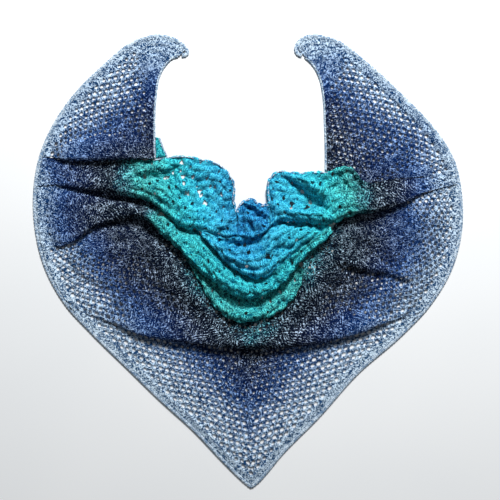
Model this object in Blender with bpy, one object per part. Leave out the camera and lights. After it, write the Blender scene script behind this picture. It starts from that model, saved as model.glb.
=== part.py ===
"""A crocheted triangular shawl laid on a table.

The bottom point lies flat, two wings are turned up with their tips curled inwards,
and the middle is bunched into hanging folds. Each stretch of cloth that shows is one
solid: it is lofted between the fold line it hangs over in front and the fold line or
free edge behind it, stands on a flat underside at z = 0, and rolls over in a round lip
wherever it lies on the stretch in front, whose wall is tucked under that lip.
Lengths are millimetres in the tables and metres in the meshes. +Y is the neck side.
"""

import math

import bmesh
import bpy
import numpy as np

for old in list(bpy.data.objects):
    bpy.data.objects.remove(old, do_unlink=True)
shawl = bpy.data.collections.new("laid_shawl")
cutters = bpy.data.collections.new("cutters")
bpy.context.scene.collection.children.link(shawl)
bpy.context.scene.collection.children.link(cutters)

MM = 0.001

# Cloth and seams
WALL = 2.5            # one layer of double crochet in fingering yarn
GAP = 0.3             # air between two pieces at a seam
TUCK = 5.0            # how far a stretch runs in under the lip that hangs over it
LIP_UNDERSIDE = WALL + GAP
EDGING_WIDTH = 4.6    # dense border round the two short sides of the triangle
NECK_EDGING_WIDTH = 2.2
EDGING_HEIGHT = 2.8
CORNER_CLEAR = 8.0    # near the corner where two folds run together nothing is tucked in,
CORNER_FADE = 40.0    # and from there the tuck grows over this length
SEAM = 0.45           # plan gap where two stretches meet edge to edge
TUCK_FROM = 5.0       # a fold lower than this tucks nothing in,
TUCK_RISE = 3.5       # and one this much higher the whole TUCK
SINGLE_WINDOW = (-12, -6, 0, 6, 12)   # places along a line that must be single cloth to tuck
CORE_CLEAR = 1.2      # from the tucked cloth's edge to the solid core of the fold over it
FLAT_CLEAR = 1.5      # how far past the lip over it a tucked edge stays flat
END_SQUARE = 20.0     # a lip turns square to its line this far from the line's end
END_FADE = 25.0       # a stretch comes down to its edges' height over this length at its ends
LIP_REACH_LIMIT = 0.35   # a lip's roll takes at most this share of the stretch's width
CUTTER_LEVELS = (-2.0, 40.0)   # below the table and above the highest fold
STRIP_SAG = 0.1       # how far a border's straight pieces may cut across a bend
STRIP_STRAIGHT = 0.005   # bends gentler than this (per mm) are sampled like this one

# The border's outer line: round the left wing tip, down past the point and up again, and
# round the right wing tip
OUTER_EDGE = [  # x, y
    (-84, 260), (-79, 261), (-75, 265), (-76, 271), (-83, 279), (-94, 286), (-114, 290),
    (-130, 288), (-146, 282), (-163, 271), (-180, 256), (-220, 217), (-249, 176), (-267, 135),
    (-275, 85), (-274, 50), (-262, -5), (-236, -54), (-200, -94), (-154, -139), (-114, -178),
    (-69, -219), (-34, -256), (-15, -275), (-4, -285), (4, -290.4), (12, -285.5), (24, -273),
    (42, -251), (91, -201), (142, -144), (197, -96), (233, -58), (262, -9), (274.6, 45),
    (274, 84), (264, 130), (242, 166), (201, 210), (152, 255), (112, 284), (95, 289),
    (79, 290), (67, 285), (60, 277), (59, 268), (63, 262), (68, 260),
]
NECK_LEFT = [  # x, y, free neck edge of the left wing, from its foot to its tip
    (-118, 130), (-118, 155), (-118, 187), (-116, 213), (-112, 236), (-105, 249),
    (-94, 259), (-88, 260),
]
NECK_RIGHT = [  # x, y, the same on the right wing
    (98, 114), (98, 142), (97, 174), (95, 211), (91, 232), (84, 247), (76, 256), (72, 259),
]

WING_TIPS = {"left": (-81, 270), "right": (66, 272)}  # inside the edging's turn

# Fold lines, all from left to right. upper is the height of the cloth on the line's far
# (neck) side, lower that of the cloth on its near side.
FOLD_LINES = {  # x, y, upper, lower
    "arc": [
        (-232, -51, 2.5, 2.5), (-210, -64, 2.5, 2.5), (-189, -74, 4, 2.5),
        (-164, -84, 8, 2.5), (-138, -95, 11, 2.5), (-105, -101, 13, 2.5),
        (-72, -105, 14, 2.5), (-37, -110, 15, 2.5), (3, -112, 16, 2.5),
        (41, -111, 15, 2.5), (79, -107, 14, 2.5), (118, -99, 13, 2.5),
        (146, -92, 11, 2.5), (169, -83, 8, 2.5), (192, -74, 4, 2.5), (221, -64, 2.5, 2.5),
    ],
    "band_left": [
        (-265, 18, 2.5, 2.5), (-251, 18, 3, 2.5), (-234, 19, 7, 2.5), (-215, 29, 10, 2.5),
        (-196, 43, 11, 2.5), (-170, 51, 12, 2.5), (-145, 54, 13, 2.5), (-125, 50, 15, 2.5),
        (-113, 36, 17, 2.5), (-97, 23, 18, 2.5), (-82, 10, 18, 2.5),
    ],
    "band_middle": [
        (-82, 10, 18, 2.5), (-70, -5, 18, 2.5), (-58, -17, 18, 2.5), (-43, -27, 19, 2.5),
        (-29, -38, 20, 2.5), (-13, -45, 20, 2.5), (3, -48, 20, 2.5), (18, -44, 20, 2.5),
        (35, -35, 19, 2.5), (50, -23, 18, 2.5), (63, -6, 17, 2.5), (69, 1, 17, 2.5),
    ],
    "band_right": [
        (69, 1, 17, 2.5), (83, 15, 16, 2.5), (94, 23, 16, 2.5), (104, 33, 15, 2.5),
        (111, 48, 15, 2.5),
    ],
    "garland": [
        (-82, 10, 5, 2.5), (-70, -9, 7, 2.5), (-59, -31, 9, 2.5), (-49, -50, 10, 2.5),
        (-37, -64, 11, 2.5), (-23, -74, 12, 2.5), (-6, -79, 12, 2.5), (13, -75, 11, 2.5),
        (35, -68, 10, 2.5), (51, -56, 9, 4), (64, -40, 8, 6), (70, -20, 7, 6),
        (69, 1, 7, 6),
    ],
    "right_lip": [
        (111, 48, 16, 2.5), (124, 55, 17, 2.5), (141, 59, 17, 2.5), (163, 61, 16, 2.5),
        (184, 68, 14, 2.5), (202, 75, 11, 2.5), (219, 84, 7, 2.5), (242, 92, 3, 2.5),
        (266, 99, 2.5, 2.5),
    ],
    "left_lip": [
        (-269, 96, 2.5, 2.5), (-251, 97, 4, 2.5), (-233, 95, 8, 2.5), (-209, 91, 12, 2.5),
        (-189, 88, 14, 2.5), (-164, 83, 15, 2.5), (-138, 79, 17, 2.5), (-123, 74, 18, 2.5),
        (-110, 65, 18, 2.5), (-100, 55, 18, 2.5), (-90, 46, 17, 2.5), (-77, 41, 16, 2.5),
        (-65, 40, 15, 2.5),
    ],
    "inner": [
        (-65, 40, 15, 2.5), (-54, 28, 16, 2.5), (-42, 15, 18, 2.5), (-31, 1, 19, 2.5),
        (-18, -10, 20, 2.5), (-4, -18, 20, 2.5), (11, -22, 20, 2.5), (26, -18, 18, 5),
        (41, -6, 16, 13), (56, 6, 16, 15), (73, 19, 16, 15), (91, 32, 15, 14),
        (111, 48, 13, 12),
    ],
    "lobe_seam": [
        (-65, 40, 13, 13), (-49, 33, 15, 14), (-29, 29, 17, 15), (-11, 31, 17, 15),
    ],
    "crumple": [(-11, 31, 17, 13), (0, 27, 20, 13), (15, 29, 20, 13), (26, 41, 20, 13)],
    "pocket": [
        (26, 41, 18, 13), (40, 51, 18, 4), (56, 50, 17, 2.5), (74, 49, 17, 2.5),
        (92, 47, 17, 3), (111, 48, 16, 10),
    ],
    "wing_left": [
        (-265, 132, 2.5, 2.5), (-253, 132, 6, 2.5), (-238, 129, 9, 2.5), (-215, 127, 11, 2.5),
        (-189, 127, 12, 2.5), (-164, 128, 12, 2.5), (-138, 129, 10, 2.5), (-121, 130, 8, 2.5),
    ],
    "wing_right": [
        (101, 113, 2.5, 9), (114, 118, 2.5, 10), (127, 121, 2.5, 10), (135, 114, 2.5, 10),
        (145, 101, 3, 9), (163, 100, 5, 8), (184, 104, 5, 6), (214, 106, 4, 4.5),
        (239, 108, 3, 3), (265, 109, 2.5, 2.5),
    ],
}
# Free neck edges, with the height of the cloth
FREE_LINES = {  # x, y, height
    "lobe_left": [
        (-119, 130, 2.5), (-106, 132, 4), (-85, 134, 3.5), (-55, 129, 3.5), (-38, 124, 3.5),
        (-25, 113, 4), (-17, 95, 4.5), (-18, 78, 6), (-14, 62, 8),
    ],
    "crumple_edge": [
        (-14, 62, 10), (-12, 69, 9), (-6, 76, 8), (4, 79, 8), (10, 76, 8), (14, 72, 8),
        (27, 72, 9),
    ],
    "lobe_right": [
        (27, 72, 9), (25, 86, 7), (26, 102, 6), (32, 110, 6), (41, 115, 6), (54, 113, 7),
        (70, 112, 8), (86, 113, 9), (101, 113, 9),
    ],
}

# Intervals along each line. The stretches on its two sides share the same places, so the
# counts of the lines in front of a stretch add up to those behind it.
INTERVALS = {
    "arc": 56, "band_left": 16, "band_middle": 22, "band_right": 5, "garland": 22,
    "right_lip": 13, "left_lip": 21, "inner": 22, "lobe_seam": 6, "crumple": 6, "pocket": 10,
    "wing_left": 11, "wing_right": 11, "lobe_left": 16, "lobe_right": 12, "crumple_edge": 6,
}

# How high each stretch lies away from its edges, from its left end to its right end, and
# how far its front lip and its back valley reach into it
STRETCH_FORM = {  # left, middle, right, lip_reach, valley_reach
    "point_panel": (2.5, 2.5, 2.5, 6, 10),
    "main_sweep": (2.5, 9, 3.5, 34, 22),
    "garland_fold": (5, 10, 7, 12, 14),
    "band_fold": (3, 15, 14, 18, 16),
    "inner_fold": (13, 17, 14, 16, 10),
    "left_lobe": (3, 5, 6, 26, 14),
    "crumple_lobe": (14, 16, 14, 10, 9),
    "right_lobe": (6, 8, 3, 18, 12),
    "left_wing": (2.5, 3, 2.5, 40, 10),
    "right_wing": (2.5, 3, 2.5, 30, 10),
    "neck_sliver": (3, 3.5, 3, 5, 5),
}

# Soft ridges and troughs inside the stretches
CREASES = {  # x, y, height, half width
    "right_lobe": [
        [(45, 104, -3, 5), (60, 96, -5, 5), (72, 84, -6, 5), (84, 76, -6, 5), (99, 66, -3, 5)],
        [(52, 110, 4, 8), (68, 104, 7, 9), (86, 91, 8, 9), (102, 80, 6, 9), (122, 76, 4, 9)],
        [(34, 104, 3, 10), (36, 86, 4, 10), (38, 70, 3, 10)],
    ],
    "left_lobe": [
        [(-145, 112, 3, 6), (-122, 118, 6, 6), (-100, 123, 6, 6), (-84, 125, 3, 6)],
        [(-146, 104, -1, 4), (-120, 108, -2, 4), (-98, 114, -2, 4)],
        [(-150, 96, 4, 9), (-118, 92, 5, 10), (-90, 76, 4, 10), (-66, 62, 4, 10)],
        [(-23, 72, -2, 5), (-32, 62, -4, 5), (-44, 54, -3, 5)],
        [(-20, 58, 3, 6), (-32, 50, 4, 6), (-44, 44, 3, 6)],
    ],
    "crumple_lobe": [
        [(-6, 70, -3, 4), (4, 66, -5, 4), (14, 58, -4, 4), (20, 50, -2, 4)],
        [(-3, 54, 3, 6), (5, 46, 4, 6), (14, 40, 3, 6)],
    ],
    "inner_fold": [
        [(-40, 26, -2, 5), (-20, 22, -4, 5), (4, 20, -4, 5), (20, 24, -2, 5)],
        [(34, 20, -2, 5), (40, 10, -4, 5), (44, 2, -3, 5)],
    ],
    "main_sweep": [
        [(115, -10, -3, 7), (150, -18, -5, 7), (175, -23, -5, 7), (205, -30, -2, 7)],
        [(-138, -2, -2, 9), (-106, -46, -3, 9), (-60, -78, -2, 9)],
        [(-112, 12, 2, 10), (-81, -31, 4, 10), (-44, -66, 3, 10)],
        [(140, 42, -3, 10), (178, 30, -5, 13), (216, 10, -4, 13)],
        [(98, -32, -3, 11), (142, -48, -5, 13), (190, -57, -3, 11)],
        [(-248, -2, -2, 11), (-224, -14, -5, 13), (-198, -36, -5, 13), (-170, -58, -3, 12)],
        [(111, -4, 2, 10), (79, -40, 4, 10), (42, -69, 3, 10)],
        [(131, -32, -2, 9), (99, -60, -3, 9), (54, -84, -2, 9)],
    ],
}

# Triangular gaps of the open shell stitch that are wider than 4 mm: centre, width, turn
SHELL_GAPS = {  # x, y, width, turn in degrees
    "left_lobe": [
        (-85, 126, 6.5, 200), (-102, 107, 5.0, 140), (-83, 108, 6.5, 260), (-62, 89, 6.5, 30),
        (-42, 94, 5.0, 80), (-55, 75, 6.0, 340), (-79, 87, 5.0, 120),
    ],
    "right_lobe": [(56, 73, 6.0, 260), (75, 69, 6.5, 100)],
    "inner_fold": [(26, 5, 6.5, 200)],
    "band_fold": [(-111, 60, 6.5, 180)],
}

# The small sliver of neck edge that shows behind the foot of the left wing
SLIVER_FOOT = ((-117.7, 131.4), (-104.5, 133.0))
SLIVER_TIP = ((-117.7, 158.0), (-114.5, 157.0))
SLIVER_HEIGHT = 3.5

# Looks: colour and roughness for each stretch
STRETCH_COLOUR = {
    "point_panel": (0.30, 0.38, 0.52),
    "main_sweep": (0.05, 0.07, 0.14),
    "garland_fold": (0.04, 0.28, 0.27),
    "band_fold": (0.04, 0.42, 0.42),
    "inner_fold": (0.02, 0.32, 0.52),
    "left_lobe": (0.03, 0.40, 0.45),
    "crumple_lobe": (0.02, 0.22, 0.42),
    "right_lobe": (0.03, 0.38, 0.40),
    "left_wing": (0.10, 0.15, 0.30),
    "right_wing": (0.12, 0.18, 0.34),
    "edging": (0.52, 0.62, 0.74),
    "neck_edging_left": (0.62, 0.70, 0.80),
    "neck_edging_right": (0.62, 0.70, 0.80),
    "neck_sliver": (0.05, 0.50, 0.48),
}
YARN_ROUGHNESS = 0.9


def smooth_step(value):
    """0 below 0, 1 above 1, and an S curve between."""
    clipped = np.clip(value, 0.0, 1.0)
    return clipped * clipped * (3.0 - 2.0 * clipped)


def curve_through(rows, samples=600):
    """A smooth curve through the rows' points (cubic Hermite pieces whose tangents join
    the neighbouring points), with the other columns eased from row to row."""
    rows = np.array(rows, dtype=float)
    knots = np.concatenate([[0.0], np.cumsum(np.hypot(*np.diff(rows[:, :2], axis=0).T))])
    points = rows[:, :2]
    tangents = np.gradient(points, knots, axis=0)
    at = np.linspace(0.0, knots[-1], samples)
    piece = np.clip(np.searchsorted(knots, at, side="right") - 1, 0, len(knots) - 2)
    span = knots[piece + 1] - knots[piece]
    u = (at - knots[piece]) / span
    along = (
        (2 * u**3 - 3 * u**2 + 1)[:, None] * points[piece]
        + ((u**3 - 2 * u**2 + u) * span)[:, None] * tangents[piece]
        + (3 * u**2 - 2 * u**3)[:, None] * points[piece + 1]
        + ((u**3 - u**2) * span)[:, None] * tangents[piece + 1]
    )
    if rows.shape[1] == 2:
        return along
    eased = smooth_step(u)[:, None]
    others = rows[piece, 2:] * (1 - eased) + rows[piece + 1, 2:] * eased
    return np.hstack([along, others])


def lengths(curve):
    """Distance along a curve at each of its points."""
    return np.concatenate([[0.0], np.cumsum(np.hypot(*np.diff(curve[:, :2], axis=0).T))])


def at_distances(curve, distances):
    """The curve's columns at the given distances along it."""
    measured = lengths(curve)
    return np.column_stack([np.interp(distances, measured, column) for column in curve.T])


def left_normals(curve):
    """Unit normals to the left of the curve's direction."""
    direction = np.gradient(curve[:, :2], axis=0)
    direction /= np.linalg.norm(direction, axis=1)[:, None]
    return np.column_stack([-direction[:, 1], direction[:, 0]])


def moved(curve, amount):
    """The curve moved sideways, to its left where the amount is positive."""
    result = curve.copy()
    result[:, :2] += left_normals(curve) * np.reshape(amount, (-1, 1))
    return result


OUTER = curve_through(OUTER_EDGE, 2400)
PANEL_EDGE = moved(OUTER, EDGING_WIDTH + GAP)
NECKS = {
    "left": curve_through(NECK_LEFT, 800),
    "right": curve_through(NECK_RIGHT, 800),
}
WING_NECK = {
    "left": moved(NECKS["left"], NECK_EDGING_WIDTH + GAP),
    "right": moved(NECKS["right"], -NECK_EDGING_WIDTH - GAP),
}


def nearest_distance(curve, point):
    """Distance along the curve of its point nearest to the given one."""
    gap = np.hypot(curve[:, 0] - point[0], curve[:, 1] - point[1])
    return lengths(curve)[int(np.argmin(gap))]


def run_between(curve, start, end, fractions):
    """The stretch of a curve from near start to near end, at fractions of its length."""
    first, last = nearest_distance(curve, start), nearest_distance(curve, end)
    return at_distances(curve, first + (last - first) * fractions)[:, :2]


def tuck_of(line):
    """How far the near cloth runs in under the line: nothing unless the far cloth lies
    well above it and the near cloth is a single layer on the table."""
    measured = lengths(line)
    around = [np.interp(measured + shift, measured, line[:, 3]) for shift in SINGLE_WINDOW]
    single = smooth_step((WALL + 0.5 - np.max(around, axis=0)) / 0.5)
    from_corner = np.minimum(measured, measured[-1] - measured)
    corner = smooth_step((from_corner - CORNER_CLEAR) / CORNER_FADE)
    return TUCK * smooth_step((line[:, 2] - TUCK_FROM) / TUCK_RISE) * single * corner


def snapped(rows, name):
    """The line with its outer ends put on the inside of the edging."""
    line = curve_through(rows, 400)
    ends = {"arc": (0, -1), "band_left": (0,), "right_lip": (-1,), "left_lip": (0,),
            "wing_left": (0, -1), "wing_right": (0, -1)}.get(name, ())
    measured = lengths(line)
    for end in ends:
        inside = PANEL_EDGE
        if name == "wing_left" and end == -1:
            inside = WING_NECK["left"]
        if name == "wing_right" and end == 0:
            inside = WING_NECK["right"]
        place = line[end, :2]
        target = at_distances(inside, [nearest_distance(inside, place)])[0, :2]
        fade = 1 - measured / measured[-1] if end == 0 else measured / measured[-1]
        line[:, :2] += np.outer(fade**6, target - place)
    return line


LINES = {name: snapped(rows, name) for name, rows in FOLD_LINES.items()}
for free_name, free_rows in FREE_LINES.items():
    free_line = curve_through(free_rows, 400)
    LINES[free_name] = np.hstack([free_line, free_line[:, 2:3]])


def side(names, which, skip=(0, 0), inset=0.0):
    """One long side of a stretch, from several lines end to end.

    which says on what side of the lines the stretch lies: "far" for the lines that it
    hangs over, "near" for those it tucks in under and for its own free edge. skip leaves
    out that many places at the two ends, and inset draws the ends in by that much.
    Columns: x, y, height, tuck."""
    pieces = []
    for name in names:
        line = LINES[name]
        tuck = tuck_of(line)
        height, offset = line[:, 3], tuck - SEAM
        if name in FREE_LINES:
            height, tuck, offset = line[:, 2], 0 * tuck, 0 * tuck
        elif which == "far":
            height, offset = line[:, 2], 0 * tuck
        curve = np.column_stack([line[:, :2], height, tuck, offset, left_normals(line)])
        places = np.linspace(0.0, lengths(line)[-1], INTERVALS[name] + 1)
        sampled = at_distances(curve, places)
        sampled[:, :2] += sampled[:, 5:7] * sampled[:, 4:5]
        pieces.append(sampled[:, :4] if not pieces else sampled[1:, :4])
    whole = np.vstack(pieces)
    whole = whole[skip[0]:len(whole) - skip[1]]
    for end, beside in ((0, 1), (-1, -2)):
        step = whole[beside, :2] - whole[end, :2]
        whole[end, :2] += step * inset / np.linalg.norm(step)
    return whole


def pinned(curve, start, end):
    """The curve with its ends moved onto start and end and the rest eased along."""
    share = (lengths(curve) / lengths(curve)[-1])[:, None]
    return curve + (1 - share) * (start - curve[0]) + share * (end - curve[-1])


def crease_height(name, x, y):
    """Sum of the stretch's soft ridges and troughs: each is a round swell whose height
    dies away with the distance from its line."""
    total = np.zeros_like(x)
    for rows in CREASES.get(name, []):
        line = curve_through(rows, 60)
        gap = np.hypot(x[..., None] - line[:, 0], y[..., None] - line[:, 1])
        nearest = np.argmin(gap, axis=-1)
        reach = np.take_along_axis(gap, nearest[..., None], axis=-1)[..., 0] / line[nearest, 3]
        total += line[nearest, 2] * np.exp(-reach * reach)
    return total


def stretch_sections(name, front, back, left, right, inner_fractions):
    """Section points of one stretch: an array of stations x columns x (x, y, z).

    Each section starts on the underside at the core of the fold, runs out under the lip,
    rolls over it and then crosses the stretch to its back edge."""
    low_left, low_middle, low_right, lip_reach, valley_reach = STRETCH_FORM[name]
    stations = len(front)
    share = (lengths(front) / lengths(front)[-1] + lengths(back) / lengths(back)[-1]) / 2
    middle = np.interp(share, [0, 0.25, 0.75, 1], [low_left, low_middle, low_middle, low_right])
    width = np.hypot(*(back[:, :2] - front[:, :2]).T)
    height = front[:, 2]
    tuck = front[:, 3]
    under = np.minimum(LIP_UNDERSIDE, height - 0.4)
    radius = np.minimum((height - under) * 1.1, LIP_REACH_LIMIT * width)

    def plan(fractions):
        """Blend of the four sides at fractions of the way across, for every station."""
        across = fractions if fractions.ndim == 2 else np.tile(fractions, (stations, 1))
        straight = (
            front[:, None, :2] * (1 - across)[..., None] + back[:, None, :2] * across[..., None]
        )
        ladder = np.linspace(0.0, 1.0, 200)
        bow = 0.0
        for curve, weight, end in ((left, 1 - share, 0), (right, share, -1)):
            if curve is None:
                continue
            chord = (
                front[end, :2] * (1 - across)[..., None] + back[end, :2] * across[..., None]
            )
            bent = pinned(curve(ladder), front[end, :2], back[end, :2])
            bent = np.stack([np.interp(across, ladder, bent[:, k]) for k in (0, 1)], axis=-1)
            bow = bow + (bent - chord) * weight[:, None, None]
        return straight + bow

    toward = plan(np.full((stations, 1), 0.02))[:, 0] - front[:, :2]
    toward /= np.maximum(np.linalg.norm(toward, axis=1), 1e-9)[:, None]
    ends = np.minimum(lengths(front), lengths(front)[-1] - lengths(front))
    square = smooth_step(ends / END_SQUARE)[:, None]
    inward = toward * (1 - square) + left_normals(front) * square
    inward /= np.linalg.norm(inward, axis=1)[:, None]
    facing = np.clip(np.sum(inward * left_normals(front), axis=1), 0.5, 1.0)
    core = np.minimum(np.where(tuck > 0.05, (tuck + CORE_CLEAR) / facing, 0.0), 0.5 * width)
    lip = [  # distance in from the lip line, height
        (core, 0.0 * height),
        (core, under),
        (np.minimum(0.35 * radius, core), under),
        (0.0 * radius, under + 0.45 * (height - under)),
        (0.22 * radius, under + 0.82 * (height - under)),
    ]
    reach = np.column_stack([column[0] for column in lip])
    heights = np.column_stack([column[1] for column in lip])
    lip_places = front[:, None, :2] + inward[:, None, :] * reach[..., None]
    flat = np.minimum(np.where(back[:, 3] > 0.05, back[:, 3] + FLAT_CLEAR, 1.0), 0.3 * width)
    start = (radius / width)[:, None]
    stop = 1 - (flat / width)[:, None]
    inner = start + (stop - start) * np.array(inner_fractions)[None, :]
    inner = np.hstack([inner, np.ones((stations, 1))])
    from_front = (inner - start) * width[:, None]
    from_back = (1 - inner) * width[:, None]
    back_height = back[:, 2]
    fall = 1 - smooth_step(from_front / lip_reach)
    rise = 1 - smooth_step((from_back - flat[:, None]) / valley_reach)
    swell = middle[:, None] + (height - middle)[:, None] * fall
    places = plan(inner)
    swell = swell + crease_height(name, places[..., 0], places[..., 1]) * (
        1 - smooth_step(1.6 * fall - 0.6)
    )
    swell = swell * (1 - rise) + back_height[:, None] * rise
    edge = np.minimum(height, back_height)[:, None]
    swell = np.maximum(edge + (swell - edge) * smooth_step(ends / END_FADE)[:, None], WALL)
    z = np.hstack([heights, swell])
    return np.dstack([np.concatenate([lip_places, places], axis=1), z])


def loft(name, sections):
    """A closed solid from the sections: the sections' own surface, upright ends and back,
    and one flat underside."""
    stations, columns = sections.shape[:2]
    mesh = bmesh.new()
    grid = [[mesh.verts.new(point * MM) for point in row] for row in sections]
    floor = sections.copy()
    floor[:, :, 2] = 0.0
    first_top = 5   # the section's first five points are its underside and lip

    def foot(station, column):
        return mesh.verts.new(floor[station, column] * MM)

    back_feet = [foot(i, columns - 1) for i in range(stations)]
    left_feet = [foot(0, j) for j in range(first_top, columns - 1)] + [back_feet[0]]
    right_feet = [foot(stations - 1, j) for j in range(first_top, columns - 1)]
    right_feet.append(back_feet[-1])
    for i in range(stations - 1):
        for j in range(columns - 1):
            mesh.faces.new((grid[i][j], grid[i + 1][j], grid[i + 1][j + 1], grid[i][j + 1]))
        mesh.faces.new((grid[i][-1], grid[i + 1][-1], back_feet[i + 1], back_feet[i]))
    for row, feet, flip in ((grid[0], left_feet, False), (grid[-1], right_feet, True)):
        walls = [[*row[:first_top + 1], feet[0]]]
        for j in range(first_top, columns - 1):
            k = j - first_top
            walls.append([row[j], row[j + 1], feet[k + 1], feet[k]])
        for wall in walls:
            mesh.faces.new(reversed(wall) if flip else wall)
    underside = [row[0] for row in grid] + right_feet
    underside += list(reversed(back_feet[:-1])) + list(reversed(left_feet[:-1]))
    mesh.faces.new(reversed(underside))
    bmesh.ops.remove_doubles(mesh, verts=mesh.verts, dist=1e-6)
    bmesh.ops.dissolve_degenerate(mesh, edges=mesh.edges, dist=1e-6)
    bmesh.ops.triangulate(mesh, faces=[face for face in mesh.faces if len(face.verts) > 4])
    bmesh.ops.recalc_face_normals(mesh, faces=mesh.faces)
    return as_object(name, mesh)


def as_object(name, mesh):
    """A named object of the shawl with its own material."""
    data = bpy.data.meshes.new(name)
    mesh.to_mesh(data)
    mesh.free()
    data.shade_smooth()
    data.set_sharp_from_angle(angle=math.radians(50))
    material = bpy.data.materials.new(f"{name} yarn")
    material.use_nodes = True
    shader = material.node_tree.nodes["Principled BSDF"]
    shader.inputs["Base Color"].default_value = (*STRETCH_COLOUR[name], 1.0)
    shader.inputs["Roughness"].default_value = YARN_ROUGHNESS
    shader.inputs["Metallic"].default_value = 0.0
    data.materials.append(material)
    made = bpy.data.objects.new(name, data)
    shawl.objects.link(made)
    return made


def strip(name, path, width, height, turn):
    """A narrow border along a path: a low rounded bar, closer sampled on tight bends.
    turn is 1 where the border lies left of the path, -1 where it lies right of it."""
    bend = np.linalg.norm(np.gradient(left_normals(path), lengths(path), axis=0), axis=1)
    step = np.sqrt(8 * STRIP_SAG / np.maximum(bend, STRIP_STRAIGHT))
    density = np.cumsum(np.gradient(lengths(path)) / step)
    count = int(math.ceil(density[-1] - density[0]))
    wanted = np.linspace(density[0], density[-1], count + 1)
    distances = np.interp(wanted, density, lengths(path))
    profile = [(0.0, 0.0), (0.0, 0.6), (0.3, 1.0), (0.7, 1.0), (1.0, 0.6), (1.0, 0.0)]
    rails = []
    for across, up in profile:
        rail = np.column_stack([
            np.interp(distances, lengths(path), column)
            for column in moved(path, turn * across * width).T
        ])
        rails.append(np.column_stack([rail[:, :2], np.full(count + 1, up * height)]))
    rails = np.array(rails)
    mesh = bmesh.new()
    verts = [[mesh.verts.new(point * MM) for point in rail] for rail in rails]
    sides = len(profile)
    for i in range(count):
        for k in range(sides):
            n = (k + 1) % sides
            mesh.faces.new((verts[k][i], verts[k][i + 1], verts[n][i + 1], verts[n][i]))
    mesh.faces.new([verts[k][0] for k in range(sides)])
    mesh.faces.new([verts[k][-1] for k in reversed(range(sides))])
    bmesh.ops.recalc_face_normals(mesh, faces=mesh.faces)
    return as_object(name, mesh)


def cut_shell_gaps(target, rows):
    """Cuts the stretch's triangular gaps right through with one cutter."""
    mesh = bmesh.new()
    for x, y, width, turn in rows:
        corners = []
        for level in CUTTER_LEVELS:
            ring = []
            for k in range(3):
                angle = math.radians(turn + 120 * k)
                reach = width * (0.62 if k == 0 else 0.5)
                ring.append(mesh.verts.new((
                    (x + reach * math.cos(angle)) * MM,
                    (y + reach * math.sin(angle)) * MM,
                    level * MM,
                )))
            corners.append(ring)
        mesh.faces.new(list(reversed(corners[0])))
        mesh.faces.new(corners[1])
        for k in range(3):
            n = (k + 1) % 3
            mesh.faces.new((corners[0][k], corners[0][n], corners[1][n], corners[1][k]))
    bmesh.ops.recalc_face_normals(mesh, faces=mesh.faces)
    data = bpy.data.meshes.new(f"{target.name}_gaps")
    mesh.to_mesh(data)
    mesh.free()
    cutter = bpy.data.objects.new(f"{target.name}_gaps", data)
    cutters.objects.link(cutter)
    cutter.hide_render = True
    cutter.display_type = "WIRE"
    cut = target.modifiers.new("shell gaps", "BOOLEAN")
    cut.operation = "DIFFERENCE"
    cut.object = cutter


def edge_side(start, end):
    """The inside of the edging between two corners, as a function of the way along."""
    return lambda fractions: run_between(PANEL_EDGE, start, end, fractions)


def neck_side(which, start, end):
    """The inside of a wing's neck edging between two corners."""
    return lambda fractions: run_between(WING_NECK[which], start, end, fractions)


EVEN = (0.0, 0.12, 0.27, 0.45, 0.63, 0.82, 1.0)
NARROW = (0.0, 0.25, 0.5, 0.75, 1.0)


def make_stretches():
    """Every stretch of cloth between its fold lines."""
    at = {name: line[[0, -1], :2] for name, line in LINES.items()}

    def build(name, front, back, left=None, right=None, skip=(0, 0), inset=0.0, columns=EVEN):
        far, near = side(front, "far", skip, inset), side(back, "near", skip, inset)
        return loft(name, stretch_sections(name, far, near, left, right, columns))

    build(
        "main_sweep", ["arc"], ["band_left", "garland", "band_right", "right_lip"],
        left=edge_side(at["arc"][0], at["band_left"][0]),
        right=edge_side(at["arc"][1], at["right_lip"][1]),
    )
    build("garland_fold", ["garland"], ["band_middle"], skip=(1, 1), columns=NARROW)
    build(
        "band_fold", ["band_left", "band_middle", "band_right"], ["left_lip", "inner"],
        left=edge_side(at["band_left"][0], at["left_lip"][0]), skip=(0, 1), columns=NARROW,
    )
    build("inner_fold", ["inner"], ["lobe_seam", "crumple", "pocket"], skip=(1, 1))
    build(
        "left_lobe", ["left_lip", "lobe_seam"], ["wing_left", "lobe_left"],
        left=edge_side(at["left_lip"][0], at["wing_left"][0]),
    )
    build("crumple_lobe", ["crumple"], ["crumple_edge"], inset=2 * GAP)
    build(
        "right_lobe", ["pocket", "right_lip"], ["lobe_right", "wing_right"],
        right=edge_side(at["right_lip"][1], at["wing_right"][1]),
    )


def make_point_panel():
    """The flat bottom point between the edging and the big arc fold."""
    arc = side(["arc"], "near", (1, 1))
    fractions = np.linspace(0, 1, len(arc))
    first = nearest_distance(PANEL_EDGE, arc[0, :2])
    last = nearest_distance(PANEL_EDGE, arc[-1, :2])
    edge = at_distances(PANEL_EDGE, first + (last - first) * fractions)
    front = np.column_stack([edge, 0 * fractions + WALL, 0 * fractions])
    sections = stretch_sections("point_panel", front, arc, None, None, NARROW)
    return loft("point_panel", sections)


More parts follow.
